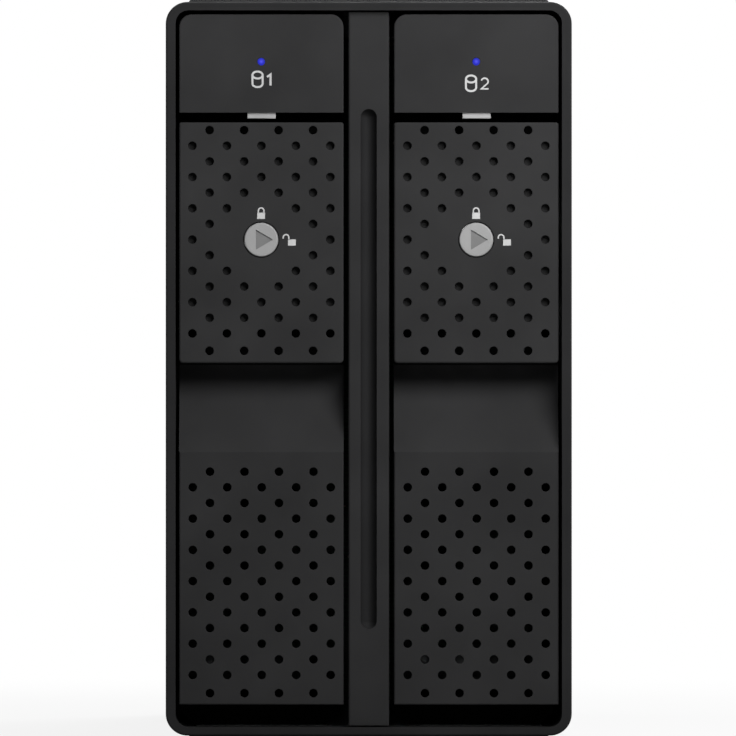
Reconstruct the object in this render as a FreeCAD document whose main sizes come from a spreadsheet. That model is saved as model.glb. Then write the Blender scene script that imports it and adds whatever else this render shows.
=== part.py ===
import FreeCAD, Part
import math
import os
import Sketcher

# Two-bay drive enclosure with removable drive trays, in millimetres.
# X runs to the right seen from the front, +Y to the rear, +Z up.
# The origin is on the floor, under the middle of the case.

V = FreeCAD.Vector
doc = FreeCAD.newDocument("drive_enclosure")
sheet = doc.addObject("Spreadsheet::Sheet", "Sizes")

# Driving sizes: alias, value, what it measures
SIZES = [
    ("front_wide", 72.5, "bezel, side to side"),
    ("front_high", 131, "bezel, bottom to top"),
    ("case_deep", 210, "bezel front to rear panel"),
    ("foot_drop", 2, "bezel underside above the floor"),
    ("corner_round", 3.9, "bezel outer corners"),
    ("opening_round", 2.3, "bezel opening corners"),
    ("side_wall", 1.75, "bezel wall at the sides"),
    ("roof_wall", 1.5, "bezel wall at top and bottom"),
    ("bezel_deep", 10, "bezel, front to back"),
    ("bezel_edge", 1, "rounding of the bezel's front edge"),
    ("sleeve_wall", 1.5, "sleeve wall"),
    ("sleeve_inset", 0.1, "sleeve sides inside the bezel's outline"),
    ("land_rise", 0.8, "raised land on the sleeve's top and bottom"),
    ("land_shy", 4, "that land's edge from the bezel's side"),
    ("sheet_thick", 0.7, "steel roof and floor of the cage"),
    ("cage_half", 31, "half width of the cage plates"),
    ("divider_thick", 2, "wall between the bays"),
    ("vent_start", 45, "front air slot of floor and roof behind the bezel front"),
    ("vent_long", 16, "air slots of floor and roof, front to back"),
    ("vent_wide", 10, "air slots of floor and roof, side to side"),
    ("ear_side", 27.6, "lugs for the rear panel's screws, from the middle"),
    ("ear_wide", 6.4, "those lugs, side to side"),
    ("ear_high", 7, "those lugs, off the cage plate"),
    ("ear_thick", 3, "those lugs, front to back"),
    ("column_wide", 7.3, "centre column"),
    ("column_back", 1.4, "column face behind the bezel front"),
    ("column_deep", 7, "column, front to back"),
    ("column_play", 0.3, "gap at each end of the column"),
    ("column_lug", 4, "height of the lugs that carry the column's ends"),
    ("groove_wide", 2.9, "half-round groove in the column"),
    ("groove_low", 19, "groove's lower end above the bezel underside"),
    ("groove_long", 92.9, "groove, end to end"),
    ("bay_offset", 19.2, "middle of a bay from the middle of the case"),
    ("tray_wide", 29.4, "tray front, side to side"),
    ("tray_back", 0.8, "tray face behind the bezel front"),
    ("tray_rise", 5.5, "tray underside above the bezel underside"),
    ("panel_high", 45.1, "perforated lower panel"),
    ("scoop_high", 15.9, "finger recess"),
    ("lever_high", 43, "lever"),
    ("latch_gap", 1.75, "gap between lever and brow"),
    ("brow_high", 17.55, "panel with the status light"),
    ("tray_deep", 16, "tray front, front to back"),
    ("tray_skin", 2, "front walls of the tray"),
    ("tray_side", 1.5, "side and end walls of the tray"),
    ("tray_sole", 1.2, "bottom wall of the tray"),
    ("brow_round", 2.3, "top corners of the tray"),
    ("edge_round", 0.4, "front edges of tray and lever"),
    ("hole_radius", 0.9, "perforations, centre to corner"),
    ("hole_pitch", 6.16, "perforations, side to side"),
    ("row_pitch", 2.79, "perforations, row to row"),
    ("last_drop", 0.4, "extra step down to the last row"),
    ("panel_mid", 22.05, "middle row above the tray underside"),
    ("lock_down", 20.95, "lock centre below the lever top"),
    ("lever_skin", 1.8, "front wall of the lever"),
    ("lever_side", 1.5, "side walls of the lever"),
    ("lever_deep", 6.2, "lever, front to back"),
    ("lever_round", 0.7, "bottom corners of the lever"),
    ("nose_cut", 0.9, "cut under the lever's rear edge"),
    ("pivot_deep", 3.9, "hinge axis behind the tray face"),
    ("pivot_up", 2.2, "hinge axis above the lever's lower edge"),
    ("swing_radius", 4.5, "room for the lever's nose round the axis"),
    ("tip_drop", 1.5, "gap between the lever and the recess's side walls"),
    ("pin_radius", 0.9, "hinge pin"),
    ("pin_fit", 0.03, "running clearance of pins, on the radius"),
    ("lug_thick", 2.5, "hinge lug"),
    ("lug_radius", 1.8, "round end of the hinge lug"),
    ("plain_radius", 7.2, "no perforations this near the lock's axis"),
    ("hub_radius", 4.3, "lock hub behind the lever"),
    ("hub_deep", 4.4, "lock hub, from the lever's face"),
    ("lock_radius", 3.05, "lock core"),
    ("lock_fit", 0.05, "running clearance of the lock core"),
    ("plate_thick", 0.8, "lever back plate"),
    ("play", 0.2, "general clearance between moving pieces"),
    ("cam_long", 7, "lock cam, axis to tip"),
    ("cam_wide", 4, "lock cam"),
    ("cam_thick", 1, "lock cam"),
    ("key_high", 3.4, "triangular recess in the lock core"),
    ("key_long", 3, "triangular recess, side to side"),
    ("key_deep", 0.5, "triangular recess, depth"),
    ("tab_wide", 5.2, "latch tab"),
    ("tab_show", 1.25, "height of tab below the brow"),
    ("tab_back", 1, "latch tab behind the tray face"),
    ("latch_sheet", 0.8, "latch stem and shoulder"),
    ("shoulder_wide", 8, "latch shoulder"),
    ("shoulder_high", 2, "latch shoulder"),
    ("spring_room", 3.6, "height of the latch spring's seat"),
    ("light_up", 9, "status light above the brow's lower edge"),
    ("light_radius", 0.65, "status light"),
    ("pipe_radius", 1, "light pipe"),
    ("carrier_thick", 1.5, "carrier plate and flanges"),
    ("carrier_long", 154, "carrier, front to back"),
    ("carrier_start", 11.3, "carrier's front end behind the tray face"),
    ("carrier_foot", 7, "carrier's lower edge above the bezel underside"),
    ("carrier_high", 119, "carrier, lower to upper edge"),
    ("runner_high", 2.9, "runner ribs beyond the flanges"),
    ("runner_gap", 24, "inner faces of the two runners"),
    ("groove_play", 0.3, "play of a runner in its groove"),
    ("groove_deep", 2.3, "grooves in the guides"),
    ("guide_back", 0.7, "guide's front end behind the tray front"),
    ("guide_wall", 2, "end wall that stops the carrier"),
    ("drive_long", 147, "bare drive, length"),
    ("drive_gap", 1, "drive's front end behind the tray front"),
    ("drive_hole_across", 95.25, "drive's bottom holes, across"),
    ("drive_hole_along", 44.45, "drive's bottom holes, along"),
    ("drive_hole_end", 41.28, "rear holes from the drive's connector end"),
    ("drive_hole_radius", 1.8, "holes for the drive's screws"),
    ("window_wide", 14, "air windows in carrier and divider"),
    ("window_high", 64, "air windows in carrier and divider"),
    ("window_pitch", 31, "air windows, one to the next"),
    ("backplane_gap", 6.2, "drive end to backplane"),
    ("board_thick", 1.6, "circuit boards"),
    ("board_low", 12.5, "main board above the bezel underside"),
    ("board_gap", 3, "main board behind the backplane"),
    ("board_shy", 2, "main board short of the rear panel"),
    ("board_edge", 0.2, "main board's sides inside the cage plates"),
    ("post_in", 5, "stand-offs from the board's edges"),
    ("post_radius", 2.6, "stand-offs"),
    ("chip_in", 12.5, "middle of the chip behind the board's front edge"),
    ("chip_wide", 14, "controller chip, side to side"),
    ("chip_long", 10, "controller chip, front to back"),
    ("chip_high", 1.4, "controller chip"),
    ("sink_wide", 20, "heat sink, side to side"),
    ("sink_long", 11, "heat sink, front to back"),
    ("sink_base", 1.5, "base of the heat sink"),
    ("fin_high", 7, "fins of the heat sink"),
    ("fin_thick", 1, "fins of the heat sink"),
    ("connector_long", 36, "drive connector"),
    ("connector_thick", 5, "drive connector"),
    ("fan_size", 60, "fan frame, square"),
    ("fan_deep", 15, "fan frame, front to back"),
    ("fan_hole_pitch", 50, "fan screw holes"),
    ("fan_bore", 28.5, "fan duct radius"),
    ("fan_up", 88, "fan axis above the bezel underside"),
    ("blade_gap", 1, "blade tip to fan duct"),
    ("blade_chord", 10, "fan blade, edge to edge"),
    ("axle_radius", 1.5, "fan axle"),
    ("axle_fit", 0.12, "fan bore round its axle, corner to corner"),
    ("fan_hub", 12.5, "fan hub radius"),
    ("panel_thick", 2.5, "rear panel"),
    ("grille_pitch", 4.9, "fan grille, slot to slot"),
    ("grille_slot", 3, "fan grille, slot width"),
    ("grille_bar", 3, "bar across the fan grille"),
    ("strut_wide", 3, "struts of the fan frame"),
    ("strut_thick", 2.5, "struts and motor base of the fan frame"),
    ("axle_long", 8, "fan axle in front of the motor base"),
    ("screw_radius", 1.4, "machine screws"),
    ("head_radius", 2.6, "screw heads"),
    ("head_deep", 1.2, "screw heads"),
    ("port_up", 21, "middle of the rear controls above the bezel underside"),
    ("jack_side", 23, "DC inlet from the middle"),
    ("jack_radius", 4.2, "DC inlet collar"),
    ("jack_bore", 2.85, "DC inlet bore"),
    ("jack_pin", 1.05, "DC inlet's centre pin"),
    ("jack_half", 4.5, "half width of the DC inlet's block"),
    ("usb_side", 8, "USB-C socket from the middle"),
    ("usb_wide", 9, "USB-C socket, side to side"),
    ("usb_high", 3.2, "USB-C socket"),
    ("usb_wall", 0.3, "shell of the USB-C socket"),
    ("cord_slot", 7, "slot for a cable lock, side to side"),
    ("cord_slot_high", 3, "slot for a cable lock"),
    ("cord_slot_up", 14.5, "slot for a cable lock above the controls"),
    ("cap_inside", 1.2, "buttons and dial, inside the panel"),
    ("cap_shy", 0.3, "button caps below the panel's face"),
    ("stem_long", 6, "stems of the buttons and the dial"),
    ("power_side", 24.5, "power button from the middle"),
    ("power_radius", 4.5, "power button"),
    ("dial_side", 12.5, "mode dial from the middle"),
    ("dial_radius", 3.2, "mode dial"),
    ("dial_shy", 0.5, "mode dial below the panel's face"),
    ("set_side", 3.5, "set button from the middle"),
    ("set_radius", 1.5, "set button"),
    ("foot_radius", 5.5, "rubber feet"),
    ("foot_side", 23, "rubber feet from the middle"),
    ("foot_end", 22, "rubber feet from front and rear"),
]


class Dim:
    """A length together with the sheet formula that gives it."""

    def __init__(self, number, formula):
        self.number = number
        self.formula = formula

    def __float__(self):
        return float(self.number)

    def __add__(self, other):
        other = dim(other)
        return Dim(self.number + other.number, f"({self.formula} + {other.formula})")

    def __sub__(self, other):
        other = dim(other)
        return Dim(self.number - other.number, f"({self.formula} - {other.formula})")

    def __mul__(self, other):
        other = dim(other)
        return Dim(self.number * other.number, f"({self.formula} * {other.formula})")

    def __truediv__(self, other):
        other = dim(other)
        return Dim(self.number / other.number, f"({self.formula} / {other.formula})")

    def __radd__(self, other):
        return dim(other) + self

    def __rsub__(self, other):
        return dim(other) - self

    def __rmul__(self, other):
        return dim(other) * self

    def __neg__(self):
        return Dim(-self.number, f"(0 - {self.formula})")


def dim(thing):
    """A plain number becomes a Dim that shows as itself."""
    if isinstance(thing, Dim):
        return thing
    return Dim(float(thing), f"({float(thing):.6f})")


def root(thing):
    return Dim(math.sqrt(thing.number), f"sqrt({thing.formula})")


class Sizes:
    """Every driving size as an attribute."""


size = Sizes()
for number, (alias, amount, meaning) in enumerate(SIZES, start=1):
    sheet.set(f"A{number}", meaning)
    sheet.set(f"B{number}", str(amount))
    sheet.setAlias(f"B{number}", alias)
    setattr(size, alias, Dim(float(amount), f"Sizes.{alias}"))
doc.recompute()

# Where each plane drawing lies and which way its normal points
PLANES = {
    "XY": {"normal": "up", "opposite": "down", "sign": 1},
    "XZ": {"normal": "front", "opposite": "rear", "sign": -1},
    "YZ": {"normal": "right", "opposite": "left", "sign": 1},
}
SMOOTH = 18
FAN_BLADES = 7
BLADE_TILT = 42
pieces = []


def new_body(name):
    body = doc.addObject("PartDesign::Body", name)
    body.Label = name
    pieces.append(body)
    return body


class Drawing:
    """A sketch on one of its body's own planes, drawn in world directions.
    origin is the place in the plane from which its corners are counted."""

    def __init__(self, body, plane, at=0, origin=(0, 0)):
        self.body = body
        self.plane = plane
        self.sketch = body.newObject("Sketcher::SketchObject", body.Label + "_sketch")
        base = [p for p in body.Origin.OriginFeatures if p.Role == plane + "_Plane"][0]
        self.sketch.AttachmentSupport = [(base, "")]
        self.sketch.MapMode = "FlatFace"
        lift = dim(at) * PLANES[plane]["sign"]
        self.sketch.setExpression("AttachmentOffset.Base.z", lift.formula)
        self.sketch.setExpression("AttachmentOffset.Base.x", dim(origin[0]).formula)
        self.sketch.setExpression("AttachmentOffset.Base.y", dim(origin[1]).formula)

    def bind(self, constraints, formulas):
        first = self.sketch.ConstraintCount
        self.sketch.addConstraint(constraints)
        for offset, formula in formulas:
            self.sketch.setExpression(f"Constraints[{first + offset}]", formula)

    def outline(self, corners):
        """A closed outline. A corner is (a, b), or (a, b, radius, side) where an arc
        leads on from it, with its centre to the left (1) or the right (-1)."""
        points = [(dim(c[0]), dim(c[1])) for c in corners]
        count = len(points)
        shapes, starts, ends = [], [], []
        for i, corner in enumerate(corners):
            a = V(float(points[i][0]), float(points[i][1]), 0)
            b = V(float(points[(i + 1) % count][0]), float(points[(i + 1) % count][1]), 0)
            if len(corner) == 2:
                shapes.append(Part.LineSegment(a, b))
                starts.append(1)
                ends.append(2)
                continue
            radius, side = float(corner[2]), corner[3]
            chord = b - a
            left = V(-chord.y, chord.x, 0).normalize()
            rise = math.sqrt(max(radius ** 2 - (chord.Length / 2) ** 2, 0))
            centre = (a + b) * 0.5 + left * (rise * side)
            angles = [math.atan2(p.y - centre.y, p.x - centre.x) for p in (a, b)]
            if side < 0:
                angles.reverse()
            circle = Part.Circle(centre, V(0, 0, 1), radius)
            shapes.append(Part.ArcOfCircle(circle, angles[0], angles[1]))
            starts.append(1 if side > 0 else 2)
            ends.append(2 if side > 0 else 1)
        first = self.sketch.GeometryCount
        self.sketch.addGeometry(shapes, False)
        constraints, formulas = [], []
        for i in range(count):
            k = (i + 1) % count
            constraints.append(
                Sketcher.Constraint("Coincident", first + i, ends[i], first + k, starts[k]))
        for i in range(count):
            for kind, place in zip(("DistanceX", "DistanceY"), points[i]):
                formulas.append((len(constraints), place.formula))
                constraints.append(
                    Sketcher.Constraint(kind, -1, 1, first + i, starts[i], float(place)))
        for i, corner in enumerate(corners):
            if len(corner) > 2:
                formulas.append((len(constraints), dim(corner[2]).formula))
                constraints.append(Sketcher.Constraint("Radius", first + i, float(corner[2])))
        self.bind(constraints, formulas)
        return self

    def box(self, a0, a1, b0, b1):
        return self.outline([(a0, b0), (a1, b0), (a1, b1), (a0, b1)])

    def window(self, a0, a1, b0, b1, cut):
        """A rectangle with its corners cut off."""
        a0, a1, b0, b1, cut = [dim(x) for x in (a0, a1, b0, b1, cut)]
        return self.outline([
            (a0 + cut, b0), (a1 - cut, b0), (a1, b0 + cut), (a1, b1 - cut),
            (a1 - cut, b1), (a0 + cut, b1), (a0, b1 - cut), (a0, b0 + cut)])

    def polygon(self, a, b, radius, sides=8, around=False):
        """around: the radius reaches the sides, not the corners."""
        if around:
            radius = radius / math.cos(math.pi / sides)
        corners = []
        for k in range(sides):
            angle = 2 * math.pi * (k + 0.5) / sides
            corners.append((a + radius * math.cos(angle), b + radius * math.sin(angle)))
        return self.outline(corners)

    def circle(self, a, b, radius):
        a, b, radius = dim(a), dim(b), dim(radius)
        first = self.sketch.GeometryCount
        self.sketch.addGeometry(
            [Part.Circle(V(float(a), float(b), 0), V(0, 0, 1), float(radius))], False)
        self.bind(
            [Sketcher.Constraint("DistanceX", -1, 1, first, 3, float(a)),
             Sketcher.Constraint("DistanceY", -1, 1, first, 3, float(b)),
             Sketcher.Constraint("Radius", first, float(radius))],
            [(0, a.formula), (1, b.formula), (2, radius.formula)])
        return self

    def rounded(self, a0, a1, b0, b1, radius):
        """A rectangle with round corners."""
        a0, a1, b0, b1, radius = [dim(x) for x in (a0, a1, b0, b1, radius)]
        return self.outline([
            (a0 + radius, b0), (a1 - radius, b0, radius, 1),
            (a1, b0 + radius), (a1, b1 - radius, radius, 1),
            (a1 - radius, b1), (a0 + radius, b1, radius, 1),
            (a0, b1 - radius), (a0, b0 + radius, radius, 1)])


def extrude(kind, drawing, length, toward):
    """Pad or pocket. toward is a world direction, or both for either side of the plane."""
    body = drawing.body
    feature = body.newObject("PartDesign::" + kind, f"{body.Label}_{kind.lower()}")
    feature.Profile = drawing.sketch
    feature.setExpression("Length", dim(length).formula)
    if toward == "both":
        feature.Midplane = True
    else:
        along = PLANES[drawing.plane]["normal"] == toward
        if not along and PLANES[drawing.plane]["opposite"] != toward:
            raise ValueError(f"{body.Label}: {toward} is not square to {drawing.plane}")
        feature.Reversed = along if kind == "Pocket" else not along
    drawing.sketch.Visibility = False
    body.Tip = feature
    return feature


def pad(drawing, length, toward):
    return extrude("Pad", drawing, length, toward)


def pocket(drawing, length, toward):
    """A pocket that removes nothing is an error."""
    body = drawing.body
    doc.recompute()
    before = body.Shape.Volume
    feature = extrude("Pocket", drawing, length, toward)
    doc.recompute()
    if not body.Shape.Volume < before - 1e-6:
        raise ValueError(f"{feature.Label} cuts nothing")
    return feature


def repeat(feature, axis, step, count, backward=False):
    """Copies of a feature in a straight line along its sketch's axis."""
    body = feature.getParentGeoFeatureGroup()
    row = body.newObject("PartDesign::LinearPattern", body.Label + "_row")
    row.Originals = [feature]
    row.Direction = (feature.Profile[0], [axis])
    row.Mode = "Spacing"
    row.setExpression("Offset", dim(step).formula)
    row.Occurrences = count
    row.Reversed = backward
    body.Tip = row
    return row


def soften(body, radius, wanted, kind="Fillet"):
    """Rounds or chamfers the edges for which wanted(edge) is true."""
    doc.recompute()
    base = body.Tip
    names = [f"Edge{i}" for i, edge in enumerate(base.Shape.Edges, start=1) if wanted(edge)]
    if not names:
        raise ValueError(f"{body.Label}: no edge to soften")
    feature = body.newObject("PartDesign::" + kind, f"{body.Label}_{kind.lower()}")
    feature.Base = (base, names)
    feature.setExpression("Radius" if kind == "Fillet" else "Size", dim(radius).formula)
    body.Tip = feature
    return feature


def runs_along(edge, direction):
    ends = edge.Vertexes
    if len(ends) < 2:
        return False
    span = ends[1].Point - ends[0].Point
    return span.Length > 1e-6 and abs(abs(span.normalize().dot(direction)) - 1) < 1e-6


def lies_at(edge, axis, place):
    """True where the whole edge lies in the plane axis = place."""
    box = edge.BoundBox
    low, high = getattr(box, axis + "Min"), getattr(box, axis + "Max")
    return abs(low - float(place)) < 1e-4 and abs(high - float(place)) < 1e-4


# Levels and depths that several pieces share
front_y = -size.case_deep / 2
rear_y = size.case_deep / 2
base_z = size.foot_drop
top_z = base_z + size.front_high
open_low = base_z + size.roof_wall
open_top = top_z - size.roof_wall
open_half = size.front_wide / 2 - size.side_wall
sleeve_half = size.front_wide / 2 - size.sleeve_inset
sleeve_front = front_y + size.bezel_deep
panel_front = rear_y - size.panel_thick
inner_half = sleeve_half - size.sleeve_wall
inner_low = base_z + size.sleeve_inset + size.sleeve_wall
inner_top = top_z - size.sleeve_inset - size.sleeve_wall
land_low = base_z + size.sleeve_inset - size.land_rise
land_top = top_z - size.sleeve_inset + size.land_rise
cage_low = land_low + size.sleeve_wall
cage_top = land_top - size.sleeve_wall
floor_top = cage_low + size.sheet_thick
roof_under = cage_top - size.sheet_thick
column_face = front_y + size.column_back
column_rear = column_face + size.column_deep

face_y = front_y + size.tray_back
tray_rear = face_y + size.tray_deep
tray_low = base_z + size.tray_rise
panel_top = tray_low + size.panel_high
lever_low = panel_top + size.scoop_high
lever_top = lever_low + size.lever_high
brow_low = lever_top + size.latch_gap
tray_top = brow_low + size.brow_high
half_tray = size.tray_wide / 2
pivot_y = face_y + size.pivot_deep
pivot_z = lever_low + size.pivot_up
well_y = pivot_y + size.swing_radius
lock_z = lever_top - size.lock_down
light_z = brow_low + size.light_up
inner_tray = half_tray - size.tray_side

carrier_left = -inner_tray + size.play / 2
plate_face = carrier_left + size.carrier_thick
runner_left = plate_face + size.runner_gap - size.carrier_thick
carrier_right = runner_left + size.carrier_thick
carrier_front = face_y + size.carrier_start
carrier_rear = carrier_front + size.carrier_long
carrier_low = base_z + size.carrier_foot
carrier_top = carrier_low + size.carrier_high
flange_low = carrier_low + size.runner_high
flange_top = carrier_top - size.runner_high
drive_mid = (flange_low + flange_top) / 2
drive_rear = tray_rear + size.drive_gap + size.drive_long
backplane_y = drive_rear + size.backplane_gap
guide_front = tray_rear + size.guide_back
guide_rear = carrier_rear + size.groove_play + size.guide_wall
fan_z = base_z + size.fan_up
fan_front = panel_front - size.fan_deep
board_z = base_z + size.board_low
board_top = board_z + size.board_thick
port_z = base_z + size.port_up
board_front = backplane_y + size.board_thick + size.board_gap
board_rear = panel_front - size.board_shy
bays = {1: -size.bay_offset, 2: size.bay_offset}


# Case: bezel, column, sleeve and cage
def front_bezel():
    body = new_body("front_bezel")
    half = size.front_wide / 2
    ring = Drawing(body, "XZ", front_y)
    ring.rounded(-half, half, base_z, top_z, size.corner_round)
    ring.rounded(-open_half, open_half, open_low, open_top, size.opening_round)
    pad(ring, size.bezel_deep, "rear")
    soften(body, size.bezel_edge, lambda e: lies_at(e, "Y", front_y)
           and (e.BoundBox.ZMin < float(open_low) - 0.1 or e.BoundBox.ZMax > float(open_top) + 0.1
                or e.BoundBox.XMin < -float(open_half) - 0.1
                or e.BoundBox.XMax > float(open_half) + 0.1), "Chamfer")
    # Two lugs carry the ends of the centre column
    for low in (open_low, open_top - size.column_lug):
        lug = Drawing(body, "XZ", column_rear)
        lug.box(-size.column_wide / 2, size.column_wide / 2, low, low + size.column_lug)
        pad(lug, sleeve_front - column_rear, "rear")


def center_column():
    body = new_body("center_column")
    low, high = open_low + size.column_play, open_top - size.column_play
    half = size.column_wide / 2
    bar = Drawing(body, "XZ", column_face).box(-half, half, low, high)
    pad(bar, size.column_deep, "rear")
    soften(body, size.edge_round, lambda e: lies_at(e, "Y", column_face)
           and runs_along(e, V(0, 0, 1)), "Chamfer")
    radius = size.groove_wide / 2
    start = base_z + size.groove_low
    groove = Drawing(body, "XZ", column_face)
    groove.rounded(-radius, radius, start, start + size.groove_long, radius * 0.98)
    pocket(groove, radius, "rear")


def outer_sleeve():
    body = new_body("outer_sleeve")
    long = panel_front - sleeve_front
    outer_round = size.corner_round - size.sleeve_inset
    tube = Drawing(body, "XZ", sleeve_front)
    tube.rounded(-sleeve_half, sleeve_half, base_z + size.sleeve_inset,
                 top_z - size.sleeve_inset, outer_round)
    tube.rounded(-inner_half, inner_half, inner_low, inner_top,
                 outer_round - size.sleeve_wall)
    pad(tube, long, "rear")
    half = size.front_wide / 2 - size.land_shy
    shy = half - size.sleeve_wall / 2
    for outside, skin, inside, ceiling in (
            (land_low, base_z + size.sleeve_inset, cage_low, inner_low),
            (land_top, top_z - size.sleeve_inset, cage_top, inner_top)):
        low, high = (outside, skin) if float(outside) < float(skin) else (skin, outside)
        pad(Drawing(body, "XZ", sleeve_front).box(-half, half, low, high), long, "rear")
        low, high = (inside, ceiling) if float(inside) < float(ceiling) else (ceiling, inside)
        pocket(Drawing(body, "XZ", sleeve_front).box(-shy, shy, low, high), long, "rear")
    soften(body, size.land_rise * 0.6, lambda e: runs_along(e, V(0, 1, 0))
           and (abs(e.BoundBox.ZMax - float(land_top)) < 1e-4
                or abs(e.BoundBox.ZMin - float(land_low)) < 1e-4), "Chamfer")


def cage_plate(name, low, turned_low, turned_high):
    """Steel plate along the case, with two lugs for the rear panel's screws."""
    body = new_body(name)
    front = sleeve_front + size.play
    plate = Drawing(body, "XZ", front).box(
        -size.cage_half, size.cage_half, low, low + size.sheet_thick)
    pad(plate, panel_front - size.play - front, "rear")
    lug_y = panel_front - size.play - size.ear_thick
    lugs, bores = Drawing(body, "XZ", lug_y), Drawing(body, "XZ", lug_y)
    for side in (-1, 1):
        middle = size.ear_side * side
        lugs.box(middle - size.ear_wide / 2, middle + size.ear_wide / 2, turned_low, turned_high)
        bores.polygon(middle, (turned_low + turned_high) / 2, size.screw_radius + size.lock_fit)
    pad(lugs, size.ear_thick, "rear")
    pocket(bores, size.ear_thick, "rear")
    # Air slots under and over the drives
    slot = Drawing(body, "XY", low)
    start = front_y + size.vent_start
    for middle in bays.values():
        slot.box(middle - size.vent_wide / 2, middle + size.vent_wide / 2,
                 start, start + size.vent_long)
    cut = pocket(slot, size.sheet_thick, "up")
    repeat(cut, "V_Axis", size.window_pitch, 4)


def cage_divider():
    body = new_body("cage_divider")
    half = size.divider_thick / 2
    wall = Drawing(body, "YZ").box(column_rear, backplane_y - size.play, floor_top, roof_under)
    pad(wall, size.divider_thick, "both")
    first = carrier_front + 12
    window = Drawing(body, "YZ", -half).window(
        first, first + size.window_wide, drive_mid - size.window_high / 2,
        drive_mid + size.window_high / 2, size.window_wide / 5)
    cut = pocket(window, size.divider_thick, "right")
    repeat(cut, "H_Axis", size.window_pitch, 5)
    # The wall steps back round the lugs that hold the column
    back = sleeve_front + size.play
    reach = size.column_lug + size.play
    notch = Drawing(body, "YZ", -half).box(column_rear, back, floor_top, open_low + reach)
    notch.box(column_rear, back, open_top - reach, roof_under)
    pocket(notch, size.divider_thick, "right")


def guides(name, seat, mouth, up):
    """One grooved guide under or over each tray. mouth is the level of its open face."""
    body = new_body(name)
    left, right = carrier_left - size.carrier_thick, carrier_right + size.carrier_thick
    blocks = Drawing(body, "XZ", guide_front)
    nook = size.corner_round - size.sleeve_wall
    shy = seat + nook if up else seat - nook
    for middle in bays.values():
        corners = [(middle + left, mouth), (middle + left, shy), (middle + left + nook, seat),
                   (middle + right - nook, seat), (middle + right, shy), (middle + right, mouth)]
        blocks.outline(corners)
    pad(blocks, guide_rear - guide_front, "rear")
    level = mouth - size.groove_deep if up else mouth
    grooves = Drawing(body, "XZ", guide_front)
    for middle in bays.values():
        for edge in (carrier_left, runner_left):
            grooves.box(middle + edge - size.groove_play,
                        middle + edge + size.carrier_thick + size.groove_play,
                        level, level + size.groove_deep)
    pocket(grooves, guide_rear - size.guide_wall - guide_front, "rear")


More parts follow.
